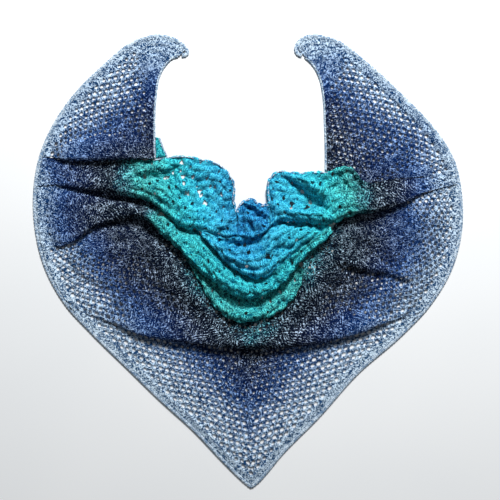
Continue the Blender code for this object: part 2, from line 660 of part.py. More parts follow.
def make_wing(name, line, which):
    """A wing between its foot line, the edging, its neck edging and its tip."""
    outline = PANEL_EDGE
    neck = WING_NECK[which]
    foot = side([line], "far")
    tip_neck = neck[-1, :2]
    tip_at = nearest_distance(outline, WING_TIPS[which])
    tip_edge = at_distances(outline, [tip_at])[0, :2]
    west, east = (tip_edge, tip_neck) if which == "left" else (tip_neck, tip_edge)
    share = np.linspace(0, 1, len(foot))[:, None]
    tip = west * (1 - share) + east * share
    tip = np.column_stack([tip, 0 * share + WALL, 0 * share])
    outer_side = edge_side(foot[0 if which == "left" else -1, :2], tip_edge)
    inner_side = neck_side(which, foot[-1 if which == "left" else 0, :2], tip_neck)
    left, right = (outer_side, inner_side) if which == "left" else (inner_side, outer_side)
    fractions = np.concatenate([np.linspace(0.0, 0.5, 8), np.linspace(0.55, 1.0, 15)])
    sections = stretch_sections(name, foot, tip, left, right, fractions)
    return loft(name, sections)


def make_sliver():
    """The sliver of neck edge that shows behind the foot of the left wing."""
    share = np.linspace(0, 1, 4)[:, None]
    foot, tip = (
        np.hstack([
            np.array(start) * (1 - share) + np.array(end) * share,
            0 * share + SLIVER_HEIGHT, 0 * share,
        ])
        for start, end in (SLIVER_FOOT, SLIVER_TIP)
    )
    return loft("neck_sliver", stretch_sections("neck_sliver", foot, tip, None, None, NARROW))


make_stretches()
make_point_panel()
make_sliver()
make_wing("left_wing", "wing_left", "left")
make_wing("right_wing", "wing_right", "right")
strip("edging", OUTER, EDGING_WIDTH, EDGING_HEIGHT, 1)
for wing, turn_side in (("left", 1), ("right", -1)):
    kept = (lengths(NECKS[wing]) > 1.5) & (lengths(NECKS[wing]) < lengths(NECKS[wing])[-1] - 1)
    strip(f"neck_edging_{wing}", NECKS[wing][kept], NECK_EDGING_WIDTH, EDGING_HEIGHT, turn_side)
for gap_name, gap_rows in SHELL_GAPS.items():
    cut_shell_gaps(bpy.data.objects[gap_name], gap_rows)
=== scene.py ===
# %% [markdown]
# # A crocheted shawl laid on a table
# The shawl is a triangle worked in one long-gradient yarn: pale blue at the two short sides,
# then slate, navy, black with light flecks, teal and turquoise at the neck. It lies on a pale
# table with its point towards us and both wings turned up, and its middle is bunched into
# hanging folds. The solids of the frame already have that form in plain shapes. Here each
# stretch of cloth becomes a thin crocheted skin on its solid: net stitch with real holes,
# shell stitch with triangular gaps, and a tweedy yarn that changes colour row by row.

# %% The frame comes first
import math

import bpy
import numpy as np
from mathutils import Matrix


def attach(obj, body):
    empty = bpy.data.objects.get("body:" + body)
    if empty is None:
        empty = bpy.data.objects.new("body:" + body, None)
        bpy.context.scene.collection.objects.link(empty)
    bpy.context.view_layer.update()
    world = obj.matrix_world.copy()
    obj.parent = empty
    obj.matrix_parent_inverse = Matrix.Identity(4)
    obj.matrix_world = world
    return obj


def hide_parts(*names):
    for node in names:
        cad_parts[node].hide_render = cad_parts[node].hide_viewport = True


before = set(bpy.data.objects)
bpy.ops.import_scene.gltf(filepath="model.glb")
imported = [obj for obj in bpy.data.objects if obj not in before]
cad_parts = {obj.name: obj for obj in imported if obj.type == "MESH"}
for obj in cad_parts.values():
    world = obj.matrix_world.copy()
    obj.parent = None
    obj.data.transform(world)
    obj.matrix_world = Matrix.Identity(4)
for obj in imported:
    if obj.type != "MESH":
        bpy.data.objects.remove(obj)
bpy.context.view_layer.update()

MM = 0.001


def placed(name, data):
    """A new object with the given data, put in the scene."""
    thing = bpy.data.objects.new(name, data)
    bpy.context.scene.collection.objects.link(thing)
    return thing


print("the frame's nodes:", sorted(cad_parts))

# %% [markdown]
# The camera looks straight down at the table, as the photographer did. The picture is square
# and 640 mm wide on the table, which makes one pixel 1.28 mm.

# %% Camera
PICTURE_WIDTH = 0.640
CAMERA_HEIGHT = 0.95
CAMERA_AIM = (0.0026, 0.0141)
SENSOR = 36.0
camera_data = bpy.data.cameras.new("overhead")
camera_data.sensor_width = SENSOR
camera_data.lens = SENSOR * CAMERA_HEIGHT / PICTURE_WIDTH
camera = placed("overhead", camera_data)
camera.location = (*CAMERA_AIM, CAMERA_HEIGHT)
bpy.context.scene.camera = camera
print(f"camera {CAMERA_HEIGHT} m up, lens {camera_data.lens:.1f} mm")

# %% [markdown]
# ## The folds
# The cloth is described by the lines that its folds lie along, as someone laying it out would
# see them: the big arc across the point, the bands and garlands that hang in the middle, the
# feet of the wings and the free neck edge. Everything is in millimetres, and +Y is the neck
# side. These are the same lines that the frame's solids were made from.

# %% Sizes of the cloth, and the outline
WALL = 2.5            # one layer of double crochet in fingering yarn
GAP = 0.3             # air between two pieces at a seam
TUCK = 5.0            # how far a stretch runs in under the lip that hangs over it
LIP_UNDERSIDE = WALL + GAP
EDGING_WIDTH = 4.6    # dense border round the two short sides of the triangle
NECK_EDGING_WIDTH = 2.2
EDGING_HEIGHT = 2.8
CORNER_CLEAR = 8.0    # near the corner where two folds run together nothing is tucked in,
CORNER_FADE = 40.0    # and from there the tuck grows over this length
SEAM = 0.45           # plan gap where two stretches meet edge to edge
TUCK_FROM = 5.0       # a fold lower than this tucks nothing in,
TUCK_RISE = 3.5       # and one this much higher the whole TUCK
SINGLE_WINDOW = (-12, -6, 0, 6, 12)   # places along a line that must be single cloth to tuck
CORE_CLEAR = 1.2      # from the tucked cloth's edge to the solid core of the fold over it
FLAT_CLEAR = 1.5      # how far past the lip over it a tucked edge stays flat
END_SQUARE = 20.0     # a lip turns square to its line this far from the line's end
END_FADE = 25.0       # a stretch comes down to its edges' height over this length at its ends
LIP_REACH_LIMIT = 0.35   # a lip's roll takes at most this share of the stretch's width
LIP_LEAST = 0.4       # the least thickness of a lip over what lies under it
LIP_ROUND = 1.1       # a lip's roll reaches this many times its thickness
LIP_UNDER = 0.35      # how far in the underside's bend begins, in the roll's reach
LIP_PROFILE = ((0.0, 0.45), (0.22, 0.82))   # points of the roll: in, and up in its thickness
LEVEL_AT = (0, 0.25, 0.75, 1)   # shares of the stretch where its left, middle, right heights hold
FLAT_LIMIT = 0.3      # a back edge's flat part takes at most this share of the width
NO_TUCK = 0.05        # a tuck smaller than this is none
CREASE_FADE = 0.6     # the higher, the further back from a lip the creases begin
FIRST_STEP = 0.02     # a first small step across, which gives the way that a lip faces
SIDE_SAMPLES = 200
END_PULL = 6          # the higher, the nearer to its end a line is pulled onto the border
LINE_SAMPLES = 400
RIDGE_SAMPLES = 60

# The border's outer line: round the left wing tip, down past the point and up again, and
# round the right wing tip
OUTER_EDGE = [  # x, y
    (-84, 260), (-79, 261), (-75, 265), (-76, 271), (-83, 279), (-94, 286), (-114, 290),
    (-130, 288), (-146, 282), (-163, 271), (-180, 256), (-220, 217), (-249, 176), (-267, 135),
    (-275, 85), (-274, 50), (-262, -5), (-236, -54), (-200, -94), (-154, -139), (-114, -178),
    (-69, -219), (-34, -256), (-15, -275), (-4, -285), (4, -290.4), (12, -285.5), (24, -273),
    (42, -251), (91, -201), (142, -144), (197, -96), (233, -58), (262, -9), (274.6, 45),
    (274, 84), (264, 130), (242, 166), (201, 210), (152, 255), (112, 284), (95, 289),
    (79, 290), (67, 285), (60, 277), (59, 268), (63, 262), (68, 260),
]
NECK_LEFT = [  # x, y, free neck edge of the left wing, from its foot to its tip
    (-118, 130), (-118, 155), (-118, 187), (-116, 213), (-112, 236), (-105, 249),
    (-94, 259), (-88, 260),
]
NECK_RIGHT = [  # x, y, the same on the right wing
    (98, 114), (98, 142), (97, 174), (95, 211), (91, 232), (84, 247), (76, 256), (72, 259),
]
WING_TIPS = {"left": (-81, 270), "right": (66, 272)}  # inside the edging's turn

# %% The fold lines
# All run from left to right. upper is the height of the cloth on the line's far
# (neck) side, lower that of the cloth on its near side.
FOLD_LINES = {  # x, y, upper, lower where it isn't WALL
    "arc": [
        (-232, -51, 2.5), (-210, -64, 2.5), (-189, -74, 4), (-164, -84, 8), (-138, -95, 11),
        (-105, -101, 13), (-72, -105, 14), (-37, -110, 15), (3, -112, 16), (41, -111, 15),
        (79, -107, 14), (118, -99, 13), (146, -92, 11), (169, -83, 8), (192, -74, 4),
        (221, -64, 2.5),
    ],
    "band_left": [
        (-265, 18, 2.5), (-251, 18, 3), (-234, 19, 7), (-215, 29, 10), (-196, 43, 11),
        (-170, 51, 12), (-145, 54, 13), (-125, 50, 15), (-113, 36, 17), (-97, 23, 18),
        (-82, 10, 18),
    ],
    "band_middle": [
        (-82, 10, 18), (-70, -5, 18), (-58, -17, 18), (-43, -27, 19), (-29, -38, 20),
        (-13, -45, 20), (3, -48, 20), (18, -44, 20), (35, -35, 19), (50, -23, 18), (63, -6, 17),
        (69, 1, 17),
    ],
    "band_right": [(69, 1, 17), (83, 15, 16), (94, 23, 16), (104, 33, 15), (111, 48, 15)],
    "garland": [
        (-82, 10, 5), (-70, -9, 7), (-59, -31, 9), (-49, -50, 10), (-37, -64, 11), (-23, -74, 12),
        (-6, -79, 12), (13, -75, 11), (35, -68, 10), (51, -56, 9, 4), (64, -40, 8, 6),
        (70, -20, 7, 6), (69, 1, 7, 6),
    ],
    "right_lip": [
        (111, 48, 16), (124, 55, 17), (141, 59, 17), (163, 61, 16), (184, 68, 14), (202, 75, 11),
        (219, 84, 7), (242, 92, 3), (266, 99, 2.5),
    ],
    "left_lip": [
        (-269, 96, 2.5), (-251, 97, 4), (-233, 95, 8), (-209, 91, 12), (-189, 88, 14),
        (-164, 83, 15), (-138, 79, 17), (-123, 74, 18), (-110, 65, 18), (-100, 55, 18),
        (-90, 46, 17), (-77, 41, 16), (-65, 40, 15),
    ],
    "inner": [
        (-65, 40, 15), (-54, 28, 16), (-42, 15, 18), (-31, 1, 19), (-18, -10, 20), (-4, -18, 20),
        (11, -22, 20), (26, -18, 18, 5), (41, -6, 16, 13), (56, 6, 16, 15), (73, 19, 16, 15),
        (91, 32, 15, 14), (111, 48, 13, 12),
    ],
    "lobe_seam": [(-65, 40, 13, 13), (-49, 33, 15, 14), (-29, 29, 17, 15), (-11, 31, 17, 15)],
    "crumple": [(-11, 31, 17, 13), (0, 27, 20, 13), (15, 29, 20, 13), (26, 41, 20, 13)],
    "pocket": [
        (26, 41, 18, 13), (40, 51, 18, 4), (56, 50, 17), (74, 49, 17), (92, 47, 17, 3),
        (111, 48, 16, 10),
    ],
    "wing_left": [
        (-265, 132, 2.5), (-253, 132, 6), (-238, 129, 9), (-215, 127, 11), (-189, 127, 12),
        (-164, 128, 12), (-138, 129, 10), (-121, 130, 8),
    ],
    "wing_right": [
        (101, 113, 2.5, 9), (114, 118, 2.5, 10), (127, 121, 2.5, 10), (135, 114, 2.5, 10),
        (145, 101, 3, 9), (163, 100, 5, 8), (184, 104, 5, 6), (214, 106, 4, 4.5), (239, 108, 3, 3),
        (265, 109, 2.5),
    ],
}

FREE_LINES = {  # x, y, height
    "lobe_left": [
        (-119, 130, 2.5), (-106, 132, 4), (-85, 134, 3.5), (-55, 129, 3.5), (-38, 124, 3.5),
        (-25, 113, 4), (-17, 95, 4.5), (-18, 78, 6), (-14, 62, 8),
    ],
    "crumple_edge": [
        (-14, 62, 10), (-12, 69, 9), (-6, 76, 8), (4, 79, 8), (10, 76, 8), (14, 72, 8),
        (27, 72, 9),
    ],
    "lobe_right": [
        (27, 72, 9), (25, 86, 7), (26, 102, 6), (32, 110, 6), (41, 115, 6), (54, 113, 7),
        (70, 112, 8), (86, 113, 9), (101, 113, 9),
    ],
}

# %% How finely each line is divided, how high each stretch lies, and its creases
INTERVALS = {
    "arc": 56, "band_left": 16, "band_middle": 22, "band_right": 5, "garland": 22,
    "right_lip": 13, "left_lip": 21, "inner": 22, "lobe_seam": 6, "crumple": 6, "pocket": 10,
    "wing_left": 11, "wing_right": 11, "lobe_left": 16, "lobe_right": 12, "crumple_edge": 6,
}
STRETCH_FORM = {  # left, middle, right, lip_reach, valley_reach
    "point_panel": (2.5, 2.5, 2.5, 6, 10),
    "main_sweep": (2.5, 9, 3.5, 34, 22),
    "garland_fold": (5, 10, 7, 12, 14),
    "band_fold": (3, 15, 14, 18, 16),
    "inner_fold": (13, 17, 14, 16, 10),
    "left_lobe": (3, 5, 6, 26, 14),
    "crumple_lobe": (14, 16, 14, 10, 9),
    "right_lobe": (6, 8, 3, 18, 12),
    "left_wing": (2.5, 3, 2.5, 40, 10),
    "right_wing": (2.5, 3, 2.5, 30, 10),
    "neck_sliver": (3, 3.5, 3, 5, 5),
}
CREASES = {  # x, y, height, half width
    "right_lobe": [
        [(45, 104, -3, 5), (60, 96, -5, 5), (72, 84, -6, 5), (84, 76, -6, 5), (99, 66, -3, 5)],
        [(52, 110, 4, 8), (68, 104, 7, 9), (86, 91, 8, 9), (102, 80, 6, 9), (122, 76, 4, 9)],
        [(34, 104, 3, 10), (36, 86, 4, 10), (38, 70, 3, 10)],
    ],
    "left_lobe": [
        [(-145, 112, 3, 6), (-122, 118, 6, 6), (-100, 123, 6, 6), (-84, 125, 3, 6)],
        [(-146, 104, -1, 4), (-120, 108, -2, 4), (-98, 114, -2, 4)],
        [(-150, 96, 4, 9), (-118, 92, 5, 10), (-90, 76, 4, 10), (-66, 62, 4, 10)],
        [(-23, 72, -2, 5), (-32, 62, -4, 5), (-44, 54, -3, 5)],
        [(-20, 58, 3, 6), (-32, 50, 4, 6), (-44, 44, 3, 6)],
    ],
    "crumple_lobe": [
        [(-6, 70, -3, 4), (4, 66, -5, 4), (14, 58, -4, 4), (20, 50, -2, 4)],
        [(-3, 54, 3, 6), (5, 46, 4, 6), (14, 40, 3, 6)],
    ],
    "inner_fold": [
        [(-40, 26, -2, 5), (-20, 22, -4, 5), (4, 20, -4, 5), (20, 24, -2, 5)],
        [(34, 20, -2, 5), (40, 10, -4, 5), (44, 2, -3, 5)],
    ],
    "main_sweep": [
        [(115, -10, -3, 7), (150, -18, -5, 7), (175, -23, -5, 7), (205, -30, -2, 7)],
        [(-138, -2, -2, 9), (-106, -46, -3, 9), (-60, -78, -2, 9)],
        [(-112, 12, 2, 10), (-81, -31, 4, 10), (-44, -66, 3, 10)],
        [(140, 42, -3, 10), (178, 30, -5, 13), (216, 10, -4, 13)],
        [(98, -32, -3, 11), (142, -48, -5, 13), (190, -57, -3, 11)],
        [(-248, -2, -2, 11), (-224, -14, -5, 13), (-198, -36, -5, 13), (-170, -58, -3, 12)],
        [(111, -4, 2, 10), (79, -40, 4, 10), (42, -69, 3, 10)],
        [(131, -32, -2, 9), (99, -60, -3, 9), (54, -84, -2, 9)],
    ],
}
SHELL_GAPS = {  # x, y, width, turn in degrees
    "left_lobe": [
        (-85, 126, 6.5, 200), (-102, 107, 5.0, 140), (-83, 108, 6.5, 260), (-62, 89, 6.5, 30),
        (-42, 94, 5.0, 80), (-55, 75, 6.0, 340), (-79, 87, 5.0, 120),
    ],
    "right_lobe": [(56, 73, 6.0, 260), (75, 69, 6.5, 100)],
    "inner_fold": [(26, 5, 6.5, 200)],
    "band_fold": [(-111, 60, 6.5, 180)],
}
SLIVER_FOOT = ((-117.7, 131.4), (-104.5, 133.0))
SLIVER_TIP = ((-117.7, 158.0), (-114.5, 157.0))
SLIVER_BEND = (-110.5, 146.0)   # where its free edge bends
SLIVER_HEIGHT = 3.5
print(len(FOLD_LINES) + len(FREE_LINES), "lines and", len(STRETCH_FORM), "stretches")

# %% [markdown]
# Curves through a few points, and the distance along and beside them, are all the geometry
# that the layout needs. Each function works on whole arrays.

# %% Curves
def smooth_step(value):
    """0 below 0, 1 above 1, and an S curve between."""
    clipped = np.clip(value, 0.0, 1.0)
    return clipped * clipped * (3.0 - 2.0 * clipped)


def unit(vectors, least=1e-9):
    """The vectors, each divided by its length."""
    return vectors / np.maximum(np.linalg.norm(vectors, axis=-1), least)[..., None]


def hermite(u, span, start, end, leaving, arriving):
    """The point at share u of a cubic Hermite piece, which runs from start to end over the
    length span and has the given slopes at its two ends."""
    return (
        (2 * u**3 - 3 * u**2 + 1) * start
        + (u**3 - 2 * u**2 + u) * span * leaving
        + (3 * u**2 - 2 * u**3) * end
        + (u**3 - u**2) * span * arriving
    )


def curve_through(rows, samples):
    """A smooth curve through the rows' points (cubic Hermite pieces whose tangents join
    the neighbouring points), with the other columns eased from row to row."""
    rows = np.array(rows, dtype=float)
    knots = np.concatenate([[0.0], np.cumsum(np.hypot(*np.diff(rows[:, :2], axis=0).T))])
    points = rows[:, :2]
    tangents = np.gradient(points, knots, axis=0)
    at = np.linspace(0.0, knots[-1], samples)
    piece = np.clip(np.searchsorted(knots, at, side="right") - 1, 0, len(knots) - 2)
    span = knots[piece + 1] - knots[piece]
    u = (at - knots[piece]) / span
    along = hermite(
        u[:, None], span[:, None], points[piece], points[piece + 1],
        tangents[piece], tangents[piece + 1],
    )
    if rows.shape[1] == 2:
        return along
    eased = smooth_step(u)[:, None]
    others = rows[piece, 2:] * (1 - eased) + rows[piece + 1, 2:] * eased
    return np.hstack([along, others])


def lengths(curve):
    """Distance along a curve at each of its points."""
    return np.concatenate([[0.0], np.cumsum(np.hypot(*np.diff(curve[:, :2], axis=0).T))])


def shares(curve):
    """The same as a share of the curve's whole length."""
    return lengths(curve) / lengths(curve)[-1]


def from_ends(curve):
    """Distance of each of a curve's points from the nearer of its two ends."""
    return np.minimum(lengths(curve), lengths(curve)[-1] - lengths(curve))


def nearest_on(line, x, y):
    """For each x and y the number of the line's nearest point, and the distance to it."""
    gap = np.hypot(x[..., None] - line[:, 0], y[..., None] - line[:, 1])
    nearest = np.argmin(gap, axis=-1)
    return nearest, np.take_along_axis(gap, nearest[..., None], axis=-1)[..., 0]


def at_distances(curve, distances):
    """The curve's columns at the given distances along it."""
    measured = lengths(curve)
    return np.column_stack([np.interp(distances, measured, column) for column in curve.T])


def left_normals(curve):
    """Unit normals to the left of the curve's direction."""
    direction = unit(np.gradient(curve[:, :2], axis=0))
    return np.column_stack([-direction[:, 1], direction[:, 0]])


def moved(curve, amount):
    """The curve moved sideways, to its left where the amount is positive."""
    result = curve.copy()
    result[:, :2] += left_normals(curve) * np.reshape(amount, (-1, 1))
    return result


def nearest_distance(curve, point):
    """Distance along the curve of its point nearest to the given one."""
    gap = np.hypot(curve[:, 0] - point[0], curve[:, 1] - point[1])
    return lengths(curve)[int(np.argmin(gap))]


def nearest_place(curve, point):
    """The curve's point nearest to the given one."""
    return at_distances(curve, [nearest_distance(curve, point)])[0, :2]


def run_between(curve, start, end, fractions):
    """The stretch of a curve from near start to near end, at fractions of its length."""
    first, last = nearest_distance(curve, start), nearest_distance(curve, end)
    return at_distances(curve, first + (last - first) * fractions)[:, :2]


OUTER = curve_through(OUTER_EDGE, 2400)
PANEL_EDGE = moved(OUTER, EDGING_WIDTH + GAP)
NECKS = {
    "left": curve_through(NECK_LEFT, 800),
    "right": curve_through(NECK_RIGHT, 800),
}
WING_NECK = {
    "left": moved(NECKS["left"], NECK_EDGING_WIDTH + GAP),
    "right": moved(NECKS["right"], -NECK_EDGING_WIDTH - GAP),
}
print(f"the outline is {lengths(OUTER)[-1]:.0f} mm long")

# %% [markdown]
# Where a fold hangs over a single layer, that layer runs in a little under it. Tucking it
# in on purpose, and only where there is room, leaves no slit to see through at the fold.

# %% How far cloth is tucked under a fold, and the lines with their ends on the border
def tuck_of(line):
    """How far the near cloth runs in under the line: nothing unless the far cloth lies
    well above it and the near cloth is a single layer on the table."""
    measured = lengths(line)
    around = [np.interp(measured + shift, measured, line[:, 3]) for shift in SINGLE_WINDOW]
    single = smooth_step((WALL + 0.5 - np.max(around, axis=0)) / 0.5)
    corner = smooth_step((from_ends(line) - CORNER_CLEAR) / CORNER_FADE)
    return TUCK * smooth_step((line[:, 2] - TUCK_FROM) / TUCK_RISE) * single * corner


BORDER_ENDS = {  # which ends of a line lie on the border: 0 the first, -1 the last
    "arc": (0, -1), "band_left": (0,), "right_lip": (-1,), "left_lip": (0,),
    "wing_left": (0, -1), "wing_right": (0, -1),
}


def snapped(rows, name):
    """The line with its outer ends put on the inside of the edging."""
    line = curve_through([(*row, WALL)[:4] for row in rows], LINE_SAMPLES)
    share = shares(line)
    for end in BORDER_ENDS.get(name, ()):
        inside = PANEL_EDGE
        if name == "wing_left" and end == -1:
            inside = WING_NECK["left"]
        if name == "wing_right" and end == 0:
            inside = WING_NECK["right"]
        place = line[end, :2]
        target = nearest_place(inside, place)
        fade = 1 - share if end == 0 else share
        line[:, :2] += np.outer(fade**END_PULL, target - place)
    return line


LINES = {name: snapped(rows, name) for name, rows in FOLD_LINES.items()}
for free_name, free_rows in FREE_LINES.items():
    free_line = curve_through(free_rows, LINE_SAMPLES)
    LINES[free_name] = np.hstack([free_line, free_line[:, 2:3]])

# %% [markdown]
# A stretch of cloth hangs over a fold line in front and runs back to the next line. Its section
# starts under the lip, rolls over it and crosses to the back, so a skin over it has a real
# rolled fold, with the cloth in front tucked in below.

# %% The sections of a stretch
def side(names, which, skip=(0, 0), inset=0.0):
    """One long side of a stretch, from several lines end to end.

    which says on what side of the lines the stretch lies: "far" for the lines that it
    hangs over, "near" for those it tucks in under and for its own free edge. skip leaves
    out that many places at the two ends, and inset draws the ends in by that much.
    Columns: x, y, height, tuck."""
    pieces = []
    for name in names:
        line = LINES[name]
        tuck = tuck_of(line)
        height, offset = line[:, 3], tuck - SEAM
        if name in FREE_LINES:
            height, tuck, offset = line[:, 2], 0 * tuck, 0 * tuck
        elif which == "far":
            height, offset = line[:, 2], 0 * tuck
        curve = np.column_stack([line[:, :2], height, tuck, offset, left_normals(line)])
        places = np.linspace(0.0, lengths(line)[-1], INTERVALS[name] + 1)
        sampled = at_distances(curve, places)
        sampled[:, :2] += sampled[:, 5:7] * sampled[:, 4:5]
        pieces.append(sampled[:, :4] if not pieces else sampled[1:, :4])
    whole = np.vstack(pieces)
    whole = whole[skip[0]:len(whole) - skip[1]]
    for end, beside in ((0, 1), (-1, -2)):
        step = whole[beside, :2] - whole[end, :2]
        whole[end, :2] += step * inset / np.linalg.norm(step)
    return whole


def pinned(curve, start, end):
    """The curve with its ends moved onto start and end and the rest eased along."""
    share = shares(curve)[:, None]
    return curve + (1 - share) * (start - curve[0]) + share * (end - curve[-1])


def with_ridges(total, lines, x, y):
    """total plus soft ridges and troughs: each is height x exp(-(distance / half width)
    squared), the distance being that to the nearest point of its line."""
    for rows in lines:
        line = curve_through(rows, RIDGE_SAMPLES)
        nearest, away = nearest_on(line, x, y)
        reach = away / line[nearest, 3]
        total += line[nearest, 2] * np.exp(-reach * reach)
    return total


def stretch_sections(name, front, back, left, right, inner_fractions):
    """Section points of one stretch: an array of stations x columns x (x, y, z).

    Each section starts on the underside at the core of the fold, runs out under the lip,
    rolls over it and then crosses the stretch to its back edge."""
    low_left, low_middle, low_right, lip_reach, valley_reach = STRETCH_FORM[name]
    stations = len(front)
    share = (shares(front) + shares(back)) / 2
    middle = np.interp(share, LEVEL_AT, [low_left, low_middle, low_middle, low_right])
    width = np.hypot(*(back[:, :2] - front[:, :2]).T)
    height = front[:, 2]
    tuck = front[:, 3]
    under = np.minimum(LIP_UNDERSIDE, height - LIP_LEAST)
    radius = np.minimum((height - under) * LIP_ROUND, LIP_REACH_LIMIT * width)

    def plan(fractions):
        """Blend of the four sides at fractions of the way across, for every station."""
        across = fractions if fractions.ndim == 2 else np.tile(fractions, (stations, 1))
        direct = (
            front[:, None, :2] * (1 - across)[..., None] + back[:, None, :2] * across[..., None]
        )
        ladder = np.linspace(0.0, 1.0, SIDE_SAMPLES)
        bow = 0.0
        for curve, weight, end in ((left, 1 - share, 0), (right, share, -1)):
            if curve is None:
                continue
            chord = (
                front[end, :2] * (1 - across)[..., None] + back[end, :2] * across[..., None]
            )
            bent = pinned(curve(ladder), front[end, :2], back[end, :2])
            bent = np.stack([np.interp(across, ladder, bent[:, k]) for k in (0, 1)], axis=-1)
            bow = bow + (bent - chord) * weight[:, None, None]
        return direct + bow

    toward = unit(plan(np.full((stations, 1), FIRST_STEP))[:, 0] - front[:, :2])
    ends = from_ends(front)
    square = smooth_step(ends / END_SQUARE)[:, None]
    inward = unit(toward * (1 - square) + left_normals(front) * square)
    facing = np.clip(np.sum(inward * left_normals(front), axis=1), 0.5, 1.0)
    core = np.minimum(np.where(tuck > NO_TUCK, (tuck + CORE_CLEAR) / facing, 0.0), 0.5 * width)
    lip = [  # distance in from the lip line, height
        (core, 0.0 * height), (core, under), (np.minimum(LIP_UNDER * radius, core), under),
        *((inn * radius, under + up * (height - under)) for inn, up in LIP_PROFILE),
    ]
    reach = np.column_stack([column[0] for column in lip])
    heights = np.column_stack([column[1] for column in lip])
    lip_places = front[:, None, :2] + inward[:, None, :] * reach[..., None]
    flat = np.where(back[:, 3] > NO_TUCK, back[:, 3] + FLAT_CLEAR, 1.0)
    flat = np.minimum(flat, FLAT_LIMIT * width)
    start = (radius / width)[:, None]
    stop = 1 - (flat / width)[:, None]
    inner = start + (stop - start) * np.array(inner_fractions)[None, :]
    inner = np.hstack([inner, np.ones((stations, 1))])
    from_front = (inner - start) * width[:, None]
    from_back = (1 - inner) * width[:, None]
    back_height = back[:, 2]
    fall = 1 - smooth_step(from_front / lip_reach)
    rise = 1 - smooth_step((from_back - flat[:, None]) / valley_reach)
    swell = middle[:, None] + (height - middle)[:, None] * fall
    places = plan(inner)
    x, y = places[..., 0], places[..., 1]
    creases = with_ridges(np.zeros_like(x), CREASES.get(name, []), x, y)
    swell = swell + creases * (1 - smooth_step((1 + CREASE_FADE) * fall - CREASE_FADE))
    swell = swell * (1 - rise) + back_height[:, None] * rise
    edge = np.minimum(height, back_height)[:, None]
    swell = np.maximum(edge + (swell - edge) * smooth_step(ends / END_FADE)[:, None], WALL)
    z = np.hstack([heights, swell])
    return np.dstack([np.concatenate([lip_places, places], axis=1), z])
